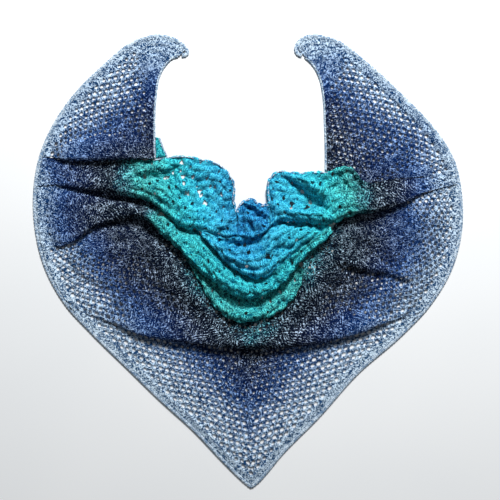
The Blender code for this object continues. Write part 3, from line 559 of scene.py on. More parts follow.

# %% [markdown]
# The solids leave out the small crumples of the soft teal lace. Each is a soft ridge or trough
# laid along a few listed points, with its own height and half width in millimetres.

# %% Crumples of the soft middle
CRUMPLES = {  # x, y, height, half width
    "left_lobe": [
        [(-20, 73, -1, 2.5), (-29, 64, -5, 3), (-40, 54, -5, 3), (-51, 49, -3, 3)],
        [(-125, 83, -1, 4), (-106, 72, -3, 4), (-87, 61, -3, 4), (-76, 55, -1, 3)],
        [(-141, 105, -2, 3), (-120, 108, -5, 3), (-100, 113, -5, 3), (-90, 120, -3, 3)],
        [(-60, 118, 1.2, 6), (-44, 104, 2.2, 6), (-34, 88, 1.2, 6)],
        [(-96, 100, 1.2, 6), (-80, 92, 2.2, 6), (-64, 84, 1, 6)],
        [(-92, 92, -1.5, 3), (-72, 76, -2.5, 3), (-58, 64, -1.5, 3)],
        [(-26, 96, -2, 3), (-34, 84, -3, 3), (-44, 76, -2, 3)],
        [(-52, 108, -1.5, 3), (-66, 100, -2.5, 3), (-78, 100, -1.5, 3)],
        [(-110, 92, 1.5, 4), (-126, 96, 2, 4), (-142, 96, 1, 4)],
        [(-22, 52, 2.5, 4), (-36, 44, 3, 4), (-50, 42, 2, 4)],
        [(-225, 119, -3, 5), (-190, 118, -4, 5), (-150, 118, -4, 5)],
        [(-96, 66, -3, 3), (-88, 76, -2, 3)], [(-62, 52, -3, 3), (-58, 62, -2, 3)],
        [(-116, 78, -3, 3), (-110, 88, -2, 3)],
    ],
    "crumple_lobe": [
        [(-7, 72, -2, 2.5), (3, 67, -6, 2.5), (14, 58, -6, 2.5), (22, 55, -3, 2.5)],
        [(0, 52, -2, 2.5), (4, 43, -5, 2.5), (7, 34, -3, 2.5)],
        [(12, 66, 2, 3), (20, 62, 3, 3), (26, 56, 2, 3)],
        [(10, 52, 3, 3.5), (18, 44, 3, 3.5)],
        [(-6, 48, -2, 2.5), (-8, 38, -4, 2.5)],
    ],
    "inner_fold": [
        [(-35, 26, -3, 3), (-14, 22, -6, 3), (5, 22, -6, 3), (24, 28, -3, 3)],
        [(-42, 17, 2, 5), (-20, 6, 3.5, 5), (3, 2, 3, 5), (26, 12, 1, 5)],
        [(37, 14, -4, 3), (56, 18, -4, 3)],
        [(35, 10, -4, 3), (32, -10, -4, 3)],
        [(-34, 14, -3, 2.5), (-14, 7, -3.5, 2.5), (2, 10, -2, 2.5)],
        [(-24, 0, -1, 2.5), (-4, -8, -3, 2.5), (14, -10, -2, 2.5)],
        [(58, 26, 2, 5), (80, 38, 2, 5)],
        [(62, 12, -2, 2.5), (78, 26, -3, 2.5), (92, 38, -2, 2.5)],
    ],
    "right_lobe": [
        [(46, 105, -2, 3), (62, 96, -6, 3), (74, 84, -7, 3), (86, 76, -7, 3), (102, 64, -4, 3)],
        [(50, 112, 1.5, 5), (70, 104, 3, 5), (88, 92, 3, 5), (108, 80, 1, 5)],
        [(143, 98, -4, 2.5), (145, 84, -4, 2.5)],
        [(118, 108, -3, 3), (126, 94, -3.5, 3)],
        [(38, 96, -2.5, 4), (40, 82, -2.5, 4)],
        [(44, 66, 2, 4), (70, 60, 3, 4), (94, 58, 2, 4)],
        [(112, 96, -2, 2.5), (100, 84, -3, 2.5), (94, 70, -2, 2.5)],
        [(150, 78, 1, 5), (180, 84, 2, 5), (205, 92, 1, 5)],
    ],
    "band_fold": [
        [(-140, 60, 1.5, 5), (-120, 54, 2.5, 5), (-100, 40, 1, 5)],
        [(-205, 86, -1, 5), (-170, 80, -4, 6), (-135, 74, -5, 6), (-112, 66, -4, 5)],
        [(-74, 14, -1, 3), (-50, -12, -2, 3)], [(44, -14, -2, 3), (66, 8, -2, 3)],
        [(-92, 10, -3, 3), (-80, 20, -3, 3)], [(-48, -24, -3, 3), (-38, -12, -3, 3)],
        [(8, -52, -3, 3), (6, -36, -3, 3)], [(40, -34, -3, 3), (32, -20, -3, 3)],
        [(66, -12, -3, 3), (54, -2, -3, 3)],
        [(-112, 52, -3, 3), (-106, 40, -3, 3)],
        [(-64, 6, -2, 2.5), (-72, -1, -3, 2.5)],
        [(-24, -26, -2, 2.5), (-28, -38, -3, 2.5)],
        [(76, 20, -3, 2.5), (84, 10, -3, 2.5)],
    ],
    "garland_fold": [
        [(-46, -34, -2.5, 4), (-16, -56, -4, 4), (16, -56, -4, 4), (44, -36, -2.5, 4)],
        [(-34, -58, 1.5, 4), (-6, -70, 2, 4), (24, -66, 1.5, 4)],
        [(-40, -52, -3, 3), (-34, -40, -2, 3)], [(-12, -76, -3, 3), (-10, -60, -2, 3)],
        [(18, -76, -3, 3), (16, -60, -2, 3)], [(44, -52, -3, 3), (38, -40, -2, 3)],
    ],
    "main_sweep": [
        [(112, -8, -2, 4), (150, -18, -8, 4), (175, -24, -9, 4), (208, -30, -4, 4)],
        [(112, 3, 1, 6), (150, -6, 3, 7), (175, -12, 4, 7), (205, -20, 2, 6)],
        [(-205, 34, -1, 7), (-170, 26, -2.5, 7), (-130, 22, -1, 7)],
        [(-20, -96, 1, 6), (20, -97, 1, 6)],
        [(-226, 6, 2, 6), (-214, -10, 3, 7), (-190, -24, 2, 8)],
        [(110, 44, -3, 5), (145, 49, -8, 7), (175, 59, -9, 7), (200, 72, -7, 6),
         (216, 84, -2, 5)],
        [(-205, 21, -2, 5), (-186, 33, -4, 6), (-157, 44, -5, 7), (-128, 42, -5, 6),
         (-106, 29, -4, 5)],
    ],
    "left_wing": [[(-240, 150, 0.5, 8), (-205, 150, 2, 8), (-165, 152, 1, 8)]],
}


DIMPLE = 3.5         # how far the lace sinks to the table round a chosen gap
DIMPLE_REACH = 1.3   # the dimple's half width, in widths of the gap


def crumple(name, x, y):
    """The stretch's crumples, and a round dimple of the same form at each chosen gap."""
    total = np.zeros_like(x)
    for px, py, width, _ in SHELL_GAPS.get(name, []):
        away = ((x - px) ** 2 + (y - py) ** 2) / (DIMPLE_REACH * width) ** 2
        total -= DIMPLE * np.exp(-away)
    return with_ridges(total, CRUMPLES.get(name, []), x, y)


# %% [markdown]
# The sections are drawn with few points. A skin that carries stitches needs a point every
# millimetre or so, so each row of points is drawn again through a smooth curve.

# %% A finer grid
CLOTH_STEP = 1.4   # distance between the skin's points
LARGE_STEP = 1.82  # the same in the two largest pieces
LARGE_PIECES = ("main_sweep", "point_panel")


def resampled(rows, count):
    """Each row of points (rows x points x 3) drawn again with count points, evenly spaced along
    a cubic Hermite curve whose slope at a point is the length-weighted mean of the slopes of
    the two straight pieces that meet there."""
    step = np.maximum(np.linalg.norm(np.diff(rows, axis=1), axis=2), 1e-6)
    knots = np.concatenate([np.zeros((len(rows), 1)), np.cumsum(step, axis=1)], axis=1)
    slope = np.diff(rows, axis=1) / step[..., None]
    before, after = step[:, :-1, None], step[:, 1:, None]
    inside = (slope[:, :-1] * after + slope[:, 1:] * before) / (before + after)
    tangent = np.concatenate([slope[:, :1], inside, slope[:, -1:]], axis=1)
    at = knots[:, -1:] * np.linspace(0, 1, count)[None, :]
    piece = np.sum(at[:, :, None] >= knots[:, None, :], axis=2) - 1
    piece = np.clip(piece, 0, rows.shape[1] - 2)
    line = np.arange(len(rows))[:, None]
    span = step[line, piece][..., None]
    u = (at[..., None] - knots[line, piece][..., None]) / span
    return hermite(
        u, span, rows[line, piece], rows[line, piece + 1],
        tangent[line, piece], tangent[line, piece + 1],
    )


SKIRT = 0.9           # how low the skin comes down at its back and ends, away from the border
OVERLAP = 0.9         # how far cloth is worked into the cloth or the border beside it
INLAND_FROM = 25.0    # nearer to the outline than this the back edge stays up,
INLAND_RISE = 40.0    # and this much further in it is down at SKIRT
BORDER_DROP = 0.15    # the share of the way down that is left beside the border


def fine_grid(sections, step):
    """The sections without their innermost point, drawn again about step apart both ways. The
    ends come down to the table. So does the back away from the border; near the border it
    stays up and is worked on into the cloth beside it."""
    skin = np.concatenate([sections[:, 1:], sections[:, -1:]], axis=1)
    inland = smooth_step((from_outline(*skin[:, -1, :2].T)[0] - INLAND_FROM) / INLAND_RISE)
    ahead = unit(skin[:, -1, :2] - skin[:, -3, :2], 1e-6)
    skin[:, -1, :2] += ahead * (OVERLAP * (1 - inland))[:, None]
    skin[:, -1, 2] += (SKIRT - skin[:, -1, 2]) * (BORDER_DROP + (1 - BORDER_DROP) * inland)
    skin = np.concatenate([skin[:1], skin, skin[-1:]])
    skin[0, :, 2] = skin[-1, :, 2] = SKIRT
    widest = np.linalg.norm(np.diff(skin, axis=1), axis=2).sum(axis=1).max()
    across = resampled(skin, int(widest / step) + 2)
    longest = np.linalg.norm(np.diff(across, axis=0), axis=2).sum(axis=0).max()
    return resampled(across.transpose(1, 0, 2), int(longest / step) + 2).transpose(1, 0, 2)


def grid_normals(grid):
    """Unit normals of a grid of points, from the cross product of its two directions."""
    along, across = np.gradient(grid, axis=0), np.gradient(grid, axis=1)
    normal = unit(np.cross(across, along))
    middle = normal[:, normal.shape[1] * 2 // 3]
    return normal if np.mean(middle[:, 2]) > 0 else -normal


# %% [markdown]
# ## The gradient
# The yarn changes colour slowly as the rows go inwards from the two short sides. The distance
# of a row from the outer edge of the flat triangle therefore says its colour. In the point,
# which lies as it was made, that is the distance from the outline. The wings are turned and
# stretched, and in the bunched middle about 205 mm of cloth is hidden in the folds, so there
# the rows are given at listed places, and a smooth field runs through them.

# %% Rows that show in the folds
ROWS_AT = {  # x, y, the row's distance from the outer edge when the cloth lies flat
    "main_sweep": [
        (-241, -1, 25), (-253, 27, 30), (-221, 14, 50), (-202, 33, 80), (-177, 40, 115),
        (-145, 37, 120), (-106, 33, 134), (-81, -1, 152), (-55, -37, 167), (-224, 8, 30),
        (-200, -8, 62), (-175, -17, 85), (-150, -24, 98), (-127, -22, 112), (-102, -17, 128),
        (-69, -49, 148), (-143, -60, 75), (-175, -49, 55), (-200, -46, 32), (-102, -65, 100),
        (-78, -73, 110), (-110, -90, 85), (-45, -90, 130), (-13, -87, 152), (3, -99, 160),
        (41, -95, 140), (79, -88, 110), (131, -76, 80), (169, -76, 50), (116, 41, 150),
        (143, 35, 130), (170, 41, 105), (197, 35, 85), (211, 14, 72), (184, -19, 75),
        (157, -5, 110), (131, 1, 135), (104, 22, 152), (77, -13, 166), (69, -32, 156),
        (104, -32, 126), (131, -32, 112), (157, -32, 88), (184, -42, 60), (204, -44, 38),
        (246, 27, 40), (233, -12, 28), (-232, -51, 2), (221, -64, 2), (266, 99, 2),
        (-265, 18, 2), (274, 45, 2), (258, -20, 2), (-255, -22, 2),
    ],
    "garland_fold": [
        (-70, 0, 172), (-50, -35, 183), (-20, -65, 186), (0, -60, 192), (30, -60, 188),
        (55, -35, 184), (65, -10, 176),
    ],
    "band_fold": [
        (-268, 60, 12), (-253, 46, 58), (-234, 65, 84), (-209, 72, 105), (-177, 68, 125),
        (-138, 63, 140), (-125, 58, 165), (-113, 50, 185), (-93, 32, 195), (-68, -1, 203),
        (-42, -28, 210), (-4, -46, 212), (28, -37, 208), (60, -5, 205), (92, 27, 195),
        (108, 42, 188), (-269, 90, 20), (-266, 30, 3),
    ],
    "inner_fold": [
        (-52, 32, 260), (-42, 8, 275), (-17, -9, 285), (3, -20, 280), (28, -1, 262),
        (54, 20, 245), (79, 37, 225), (99, 42, 205), (-4, 20, 320), (22, 20, 290),
    ],
    "left_lobe": [
        (-266, 104, 25), (-247, 114, 82), (-221, 116, 100), (-196, 114, 118), (-177, 110, 142),
        (-157, 106, 165), (-138, 97, 178), (-119, 91, 190), (-125, 116, 182), (-106, 123, 195),
        (-87, 110, 215), (-93, 84, 205), (-68, 104, 245), (-74, 72, 225), (-42, 104, 280),
        (-49, 65, 260), (-29, 91, 290), (-26, 59, 300), (-17, 33, 310), (-61, 50, 235),
    ],
    "crumple_lobe": [(0, 60, 340), (10, 45, 330), (0, 35, 320), (20, 60, 330)],
    "right_lobe": [
        (31, 97, 275), (26, 78, 290), (47, 104, 262), (67, 104, 240), (86, 97, 215),
        (105, 91, 200), (54, 72, 255), (79, 63, 235), (99, 59, 210), (124, 116, 182),
        (131, 91, 180), (143, 84, 165), (159, 91, 150), (175, 93, 130), (195, 97, 110),
        (220, 100, 75), (246, 101, 35), (265, 101, 5),
    ],
    "neck_sliver": [(-116, 140, 205), (-110, 140, 207), (-114, 155, 206)],
    "left_wing": [
        (-262, 140, 4), (-253, 168, 8), (-215, 225, 8), (-164, 270, 8), (-113, 285, 8),
        (-81, 268, 6), (-241, 142, 54), (-215, 155, 65), (-177, 155, 90), (-138, 155, 98),
        (-123, 148, 111), (-228, 180, 40), (-189, 187, 54), (-151, 193, 80), (-125, 200, 100),
        (-202, 219, 24), (-170, 225, 34), (-138, 232, 52), (-123, 234, 68), (-177, 251, 25),
        (-145, 260, 30), (-115, 257, 40), (-106, 273, 24),
    ],
    "right_wing": [
        (266, 115, 4), (252, 155, 6), (214, 206, 8), (156, 257, 8), (105, 283, 8),
        (67, 276, 6), (105, 123, 118), (124, 129, 108), (156, 123, 92), (195, 116, 82),
        (227, 110, 62), (246, 110, 38), (111, 155, 112), (143, 161, 90), (182, 161, 76),
        (214, 155, 66), (233, 155, 44), (111, 193, 98), (143, 200, 68), (182, 193, 48),
        (201, 193, 36), (105, 225, 70), (131, 232, 52), (156, 225, 38), (92, 251, 55),
        (111, 260, 46), (73, 264, 31),
    ],
}


SPREAD_UNIT = 100    # mm, keeps the numbers in the linear system near one
OUTLINE_EVERY = 6    # the outline's points that are searched for the nearest


def spread(rows, x, y):
    """The smoothest field through the given values: a sum of cones r (the distance from each
    place) plus a tilted plane, with weights from one linear system."""
    rows = np.array(rows, dtype=float)
    places, values = rows[:, :2], rows[:, 2]
    count = len(rows)
    between = np.linalg.norm(places[:, None] - places[None], axis=2)
    plane = np.column_stack([np.ones(count), places / SPREAD_UNIT])
    system = np.block([[between / SPREAD_UNIT, plane], [plane.T, np.zeros((3, 3))]])
    weights = np.linalg.solve(system, np.concatenate([values, np.zeros(3)]))
    level, tilt_x, tilt_y = weights[count:]
    field = level + tilt_x * x / SPREAD_UNIT + tilt_y * y / SPREAD_UNIT
    for (px, py), weight in zip(places, weights[:count]):
        field = field + weight * np.hypot(x - px, y - py) / SPREAD_UNIT
    return field


def from_outline(x, y):
    """Distance of each point from the outline, and the place along the outline of its nearest
    point, counted from the shawl's bottom tip both ways. The nearest corner of the outline is
    found first, and then the nearest place on the two straight pieces beside it."""
    line, measured = OUTER[::OUTLINE_EVERY, :2], lengths(OUTER)[::OUTLINE_EVERY]
    tip = measured[int(np.argmin(line[:, 1]))]
    nearest, distance = nearest_on(line, x, y)
    along = measured[nearest]
    for step in (-1, 1):
        other = np.clip(nearest + step, 0, len(line) - 1)
        run = line[other] - line[nearest]
        to_point = np.stack([x, y], axis=-1) - line[nearest]
        long = np.maximum(np.sum(run * run, axis=-1), 1e-9)
        share = np.clip(np.sum(to_point * run, axis=-1) / long, 0, 1)
        reach = np.linalg.norm(to_point - run * share[..., None], axis=-1)
        closer = reach < distance
        place = measured[nearest] + share * (measured[other] - measured[nearest])
        along = np.where(closer, place, along)
        distance = np.where(closer, reach, distance)
    return distance, np.abs(along - tip)


# %% [markdown]
# ## The stitches
# Two stitches show. The dark and pale rows are a net of double crochet: small oval holes every
# 13.6 mm along the row, in rows 7.8 mm apart. The teal rows are shells: fans of long posts,
# 17 mm wide, with a triangular gap between neighbours. Both are written as three fields over
# the skin: the openness of a gap, the height of the yarn and the run of its plies. Where the
# first is above zero the skin is cut away, and the cut's edge lies where it crosses zero.

# %% The net and the shells as fields
NET_ALONG = 13.6
NET_ROW = 7.8
NET_HOLE = (2.7, 2.05)      # half length along the row and half width of a hole between posts
NET_EYE = (2.5, 1.85)       # the same for the small eye inside each pair of posts
HOLES = ((0.0, NET_HOLE, 10), (0.5, NET_EYE, 20))   # offset in repeats, half sizes, seed
HOLE_STRAY = (0.06, 0.08)   # how far a hole strays along and across the row, in repeats
HOLE_SIZES = (0.82, 0.34)   # the smallest hole's size, and how much more the largest has
RIM_DROP = 1.1              # how much lower the yarn lies beside a hole than between holes
RIM_REACH = 1.3             # how far from a hole that goes, in half sizes of the hole
RIB, POST = 0.25, 0.22      # height of the ribs along the rows and of the posts across
PLY_RUN = (0.9, 0.55)       # how the plies run along the row and across it
PLY_EVERY = 3.4             # from one ply to the next
SHELL_WIDTH = 17.0
SHELL_ROW = 11.5
SHELL_GAP = 2.3
SHELL_PUFF = 3.0            # how far a fan stands up from the dents between fans
PUFF_ROUNDNESS = 0.6        # the power that makes the puff broad on top
PUFF_MEAN = 0.6             # the share of the puff taken off again, to keep the mean height
FAN_FOOT = 1.5              # how far below its row the posts of a fan meet
FAN_PLIES = 3.4             # plies in each radian of a fan
FAN_CURL = 0.16             # how far they curl with each mm of radius
FAN_POST = 0.45
FAN_GAPS = (0.2, 1.1)       # the least gap beside a fan, in SHELL_GAP, and what most add to it
GAP_LEVEL = 3.0             # how far above its row a gap is widest
GAP_TALL = 1.3              # a gap's half height in half widths
LEAST_GAP = 0.3
NO_GAP = -3.0               # the gap field far from every gap
DENSE_BORDER = 12.0         # rows without holes along the outer edge
SHELLS_FROM = 168.0         # the row where the net gives way to shells


def scatter(a, b, seed):
    """A repeatable number from 0 to 1 for each pair of whole numbers."""
    mixed = np.sin(a * 127.1 + b * 311.7 + seed * 74.7) * 43758.5453
    return mixed - np.floor(mixed)


def net_stitch(u, v, openness):
    """Net stitch at u along the row and v across the rows, in mm. The gap field is one minus
    the distance from the nearest hole's middle in units of the hole's half sizes, for the holes
    between posts and for the eyes half a repeat away, each a little off its place and larger
    or smaller than the rest. The yarn rises to a rib along each row and to two posts between
    neighbouring holes."""
    gap = np.full_like(u, NO_GAP)
    for offset, half, seed in HOLES:
        i, j = np.round(u / NET_ALONG - offset), np.round(v / NET_ROW - offset)
        du = u - NET_ALONG * (i + offset + HOLE_STRAY[0] * (scatter(i, j, seed) - 0.5))
        dv = v - NET_ROW * (j + offset + HOLE_STRAY[1] * (scatter(i, j, seed + 1) - 0.5))
        size = HOLE_SIZES[0] + HOLE_SIZES[1] * scatter(i, j, seed + 2)
        size = np.maximum(openness * size, 0.01)
        gap = np.maximum(gap, 1.0 - np.hypot(du / (half[0] * size), dv / (half[1] * size)))
    rib = RIB * np.cos(2 * np.pi * (v / NET_ROW - 0.5))
    post_phase = 2 * u / NET_ALONG - 0.5 * np.cos(2 * np.pi * v / NET_ROW)
    posts = POST * np.cos(2 * np.pi * post_phase)
    lean = np.where(scatter(i, j, 4) > 0.5, 1.0, -1.0)
    strand = (u * PLY_RUN[0] + lean * v * PLY_RUN[1]) / PLY_EVERY + scatter(i, j, 5)
    rim = -RIM_DROP * openness * smooth_step((gap + RIM_REACH) / RIM_REACH)
    return gap, rib + posts + rim, strand


def shell_stitch(u, v):
    """Shell stitch: rows SHELL_ROW apart, shifted half a shell every other row. Around the
    fan's foot, posts are ridges along lines of equal angle that curl a little with the radius.
    A gap opens between two fans where their feet meet the row below."""
    j = np.floor(v / SHELL_ROW)
    shifted = u / SHELL_WIDTH + 0.5 * np.mod(j, 2)
    i = np.floor(shifted)
    x = (shifted - i - 0.5) * SHELL_WIDTH
    y = v - j * SHELL_ROW
    angle, radius = np.arctan2(x, y + FAN_FOOT), np.hypot(x, y + FAN_FOOT)
    turn = np.where(scatter(i, j, 6) > 0.5, 1.0, -1.0)
    strand = angle * FAN_PLIES + turn * radius * FAN_CURL + scatter(i, j, 7)
    posts = FAN_POST * np.cos(2 * np.pi * strand)
    puff = np.cos(np.pi * x / SHELL_WIDTH) * np.sin(np.pi * np.clip(y / SHELL_ROW, 0, 1))
    dome = SHELL_PUFF * np.clip(puff, 0, 1) ** PUFF_ROUNDNESS
    beside = i + np.where(x > 0, 1, 0)
    size = SHELL_GAP * (FAN_GAPS[0] + FAN_GAPS[1] * scatter(beside, j, 8))
    across = (SHELL_WIDTH / 2 - np.abs(x)) / np.maximum(size, LEAST_GAP)
    up = np.abs(y - GAP_LEVEL) / np.maximum(GAP_TALL * size, LEAST_GAP)
    gap = np.clip(1.0 - across - up, NO_GAP, 1.0)
    return gap, posts + dome - PUFF_MEAN * SHELL_PUFF, strand


def triangle_gap(x, y, row):
    """A triangular gap cut at a chosen place: the least of three signed edge distances."""
    cx, cy, width, turn = row
    inside = np.full_like(x, 9.0)
    for k in range(3):
        angle = math.radians(turn + 180 + 120 * k)
        across = (x - cx) * math.cos(angle) + (y - cy) * math.sin(angle)
        inside = np.minimum(inside, width * 0.36 - across)
    return inside / 2.0


# %% [markdown]
# The cut itself works on triangles. A triangle with all corners on yarn stays, one with none
# goes, and the others are clipped at the line where the gap field crosses zero.

# %% Clipping the skin at its gaps
CLIP_LIMIT = (0.08, 0.92)   # a clipped corner never comes closer than this to a kept one


def grid_triangles(stations, columns):
    """Two triangles for each cell of a grid of points."""
    index = np.arange(stations * columns).reshape(stations, columns)
    a, b, c, d = index[:-1, :-1], index[1:, :-1], index[1:, 1:], index[:-1, 1:]
    flip = (np.add.outer(np.arange(stations - 1), np.arange(columns - 1)) % 2 == 0)[..., None]
    first = np.where(flip, np.stack([a, b, c], -1), np.stack([a, b, d], -1))
    second = np.where(flip, np.stack([a, c, d], -1), np.stack([b, c, d], -1))
    return np.concatenate([first.reshape(-1, 3), second.reshape(-1, 3)])


def clipped(columns, triangles, gap):
    """Points' columns and triangles after cutting away where gap is above zero."""
    kept = gap <= 0
    count = kept[triangles].sum(axis=1)
    whole = triangles[count == 3]
    made, ends, share = [], [], []
    start = len(columns)

    def crossing(inner, outer):
        """New points on the edges from kept corners to cut ones, numbered in edge order."""
        t = gap[inner] / np.where(gap[inner] - gap[outer] == 0, 1, gap[inner] - gap[outer])
        ends.append(np.column_stack([inner, outer]))
        share.append(np.clip(t, *CLIP_LIMIT))
        return start + sum(len(part) for part in ends[:-1]) + np.arange(len(inner))

    for wanted in (1, 2):
        mixed = triangles[count == wanted]
        odd = kept[mixed] if wanted == 1 else ~kept[mixed]
        turn = np.argmax(odd, axis=1)
        rows = np.arange(len(mixed))
        a, b, c = (mixed[rows, (turn + k) % 3] for k in range(3))
        if wanted == 1:
            made.append(np.column_stack([a, crossing(a, b), crossing(a, c)]))
        else:
            ab, ac = crossing(b, a), crossing(c, a)
            made.append(np.column_stack([ab, b, c]))
            made.append(np.column_stack([ab, c, ac]))
    pairs, t = np.concatenate(ends), np.concatenate(share)[:, None]
    new = columns[pairs[:, 0]] * (1 - t) + columns[pairs[:, 1]] * t
    _, first, same = np.unique(
        pairs[:, 0].astype(np.int64) * len(columns) + pairs[:, 1], return_index=True,
        return_inverse=True,
    )
    faces = np.concatenate([whole, *made])
    added = faces >= start
    faces[added] = start + same[faces[added] - start]
    everything = np.vstack([columns, new[first]])
    good = (faces[:, 0] != faces[:, 1]) & (faces[:, 1] != faces[:, 2]) & (faces[:, 2] != faces[:, 0])
    faces = faces[good]
    used, packed = np.unique(faces, return_inverse=True)
    return everything[used], packed.reshape(-1, 3)


# %% [markdown]
# Crochet is one yarn thick. The clipped skin is only a surface, so a solidify modifier
# gives it that thickness inwards, which is simpler than building an underside. Two
# attributes tell the yarn's material which row and which ply each point belongs to.

# %% Putting a skin into a mesh
SKIN_WALL = 1.3   # thickness of the crocheted yarn layer


def as_piece(name, columns, triangles, material, wall=SKIN_WALL):
    """A mesh object from columns x, y, z (mm), row and strand, with a wall put on inwards."""
    mesh = bpy.data.meshes.new(name)
    mesh.vertices.add(len(columns))
    mesh.vertices.foreach_set("co", (columns[:, :3] * MM).astype(np.float32).ravel())
    mesh.loops.add(triangles.size)
    mesh.loops.foreach_set("vertex_index", triangles.astype(np.int32).ravel())
    mesh.polygons.add(len(triangles))
    mesh.polygons.foreach_set("loop_start", np.arange(0, triangles.size, 3, dtype=np.int32))
    mesh.update(calc_edges=True)
    mesh.validate()
    for k, label in ((3, "row"), (4, "strand")):
        layer = mesh.attributes.new(label, "FLOAT", "POINT")
        layer.data.foreach_set("value", columns[:, k].astype(np.float32))
    mesh.shade_smooth()
    mesh.materials.append(material)
    piece = placed(name, mesh)
    if wall:
        thick = piece.modifiers.new("yarn thickness", "SOLIDIFY")
        thick.thickness = wall * MM
        thick.offset = -1.0
        thick.use_even_offset = False
    return piece


# %% [markdown]
# ## The yarn
# Fingering yarn plied from four fine strands, of which one at a time changes colour, looks
# tweedy: every place shows two colours, a deep one and a light one, as short curved flecks
# about 2 mm wide. It is matt wool and cotton, rough all over, with a soft sheen from its fuzz
# and no highlights. The flecks are thin bands where a noise crosses its middle value, which
# makes the short worm shapes of plied strands, and the same pattern lifts the surface.

# %% Colours of the two strands by row
FULL_GRADIENT = 400.0
STRANDS = [  # row in mm, deep strand, light strand, share of light
    (0, "#34587c", "#cee3f3", 0.58),
    (14, "#1e446c", "#c6ddf1", 0.49),
    (35, "#163c68", "#bad6f2", 0.45),
    (55, "#0e3262", "#a4c2e8", 0.41),
    (75, "#042558", "#82a8e0", 0.35),
    (95, "#02153c", "#92aede", 0.31),
    (118, "#030e24", "#c0d6f2", 0.28),
    (145, "#010b1a", "#b4d4ea", 0.28),
    (160, "#02182c", "#76c6d6", 0.33),
    (178, "#014c56", "#60d6d0", 0.48),
    (205, "#02667a", "#44d6dc", 0.51),
    (240, "#037296", "#46d2e8", 0.53),
    (280, "#036f9c", "#4ccaea", 0.52),
    (330, "#024d84", "#3caade", 0.48),
    (400, "#024078", "#34a0d8", 0.46),
]
EDGE_STRANDS = [  # the border's two strands
    (0, "#6a87a6", "#cbdcea", 0.52),
    (400, "#6a87a6", "#cbdcea", 0.52),
]


def to_linear(text):
    """An sRGB hex colour as linear red, green, blue and one for alpha."""
    srgb = np.array([int(text[k:k + 2], 16) / 255 for k in (1, 3, 5)])
    linear = np.where(srgb <= 0.04045, srgb / 12.92, ((srgb + 0.055) / 1.055) ** 2.4)
    return (*linear, 1.0)


def add_node(tree, kind, inputs=None, **settings):
    """A node with its settings, and its inputs linked to sockets or set to values."""
    node = tree.nodes.new(kind)
    for key, value in settings.items():
        setattr(node, key, value)
    for key, value in (inputs or {}).items():
        if isinstance(value, bpy.types.NodeSocket):
            tree.links.new(value, node.inputs[key])
        else:
            node.inputs[key].default_value = value
    return node


def ramp(tree, factor, stops):
    """A colour ramp with the given places and linear colours."""
    node = add_node(tree, "ShaderNodeValToRGB", {"Fac": factor})
    band = node.color_ramp
    while len(band.elements) < len(stops):
        band.elements.new(0.5)
    for element, (place, colour) in zip(band.elements, stops):
        element.position = place
        element.color = colour
    return node.outputs["Color"]


# %% The yarn material
FLECK = 5.4         # mm from one fleck to the next
SECOND_FLECK = 0.72   # size of the second, finer flecks beside the first
FLECK_WIDTH = 12.0  # the higher, the narrower a fleck
CLUMP = 9.0         # mm from one clump of light flecks to the next
FLECK_EDGE = 12.0   # how sharply a light fleck ends
LEAST_RANGE = 1.1   # turns the share of light into the least pattern value that is light
FUZZ = 0.8          # mm, the fine halo of loose fibres
PLY_WAVE = 1.5      # how far the plies stray from the stitch's own run
SHELL_BLEND = 15    # rows over which the net's mix of patterns turns into the shells'
WORM_PART = (0.55, -0.14)   # weight of the flecks in the net, and what the shells add to it
PLY_PART = (0.2, 0.16)      # the same for the plies
GRAIN = (0.3, 0.25)         # the fine grain's size in flecks, and its weight
CLUMP_PART, PATTERN_SHIFT = 0.36, -0.15   # weight of the clumps, and what keeps the mean
DRIFT = (16, 2, 26)         # a slow stray of the colour: size in mm, detail, rows
BLUR = (2.2, 1, 36)         # and a quick one, which mixes neighbouring rows
FUZZ_PART = 0.25            # the fuzz's share in the bump
BUMP_STRENGTH, BUMP_HEIGHT = 0.8, 0.9   # the second in mm


def new_material(name, **inputs):
    """A material with the inputs of its shader set, its node tree, the shader, and a socket
    with the place on the piece."""
    material = bpy.data.materials.new(name)
    material.use_nodes = True
    tree = material.node_tree
    shader = tree.nodes["Principled BSDF"]
    for key, value in inputs.items():
        shader.inputs[key.replace("_", " ")].default_value = value
    place = add_node(tree, "ShaderNodeTexCoord").outputs["Object"]
    return material, tree, shader, place


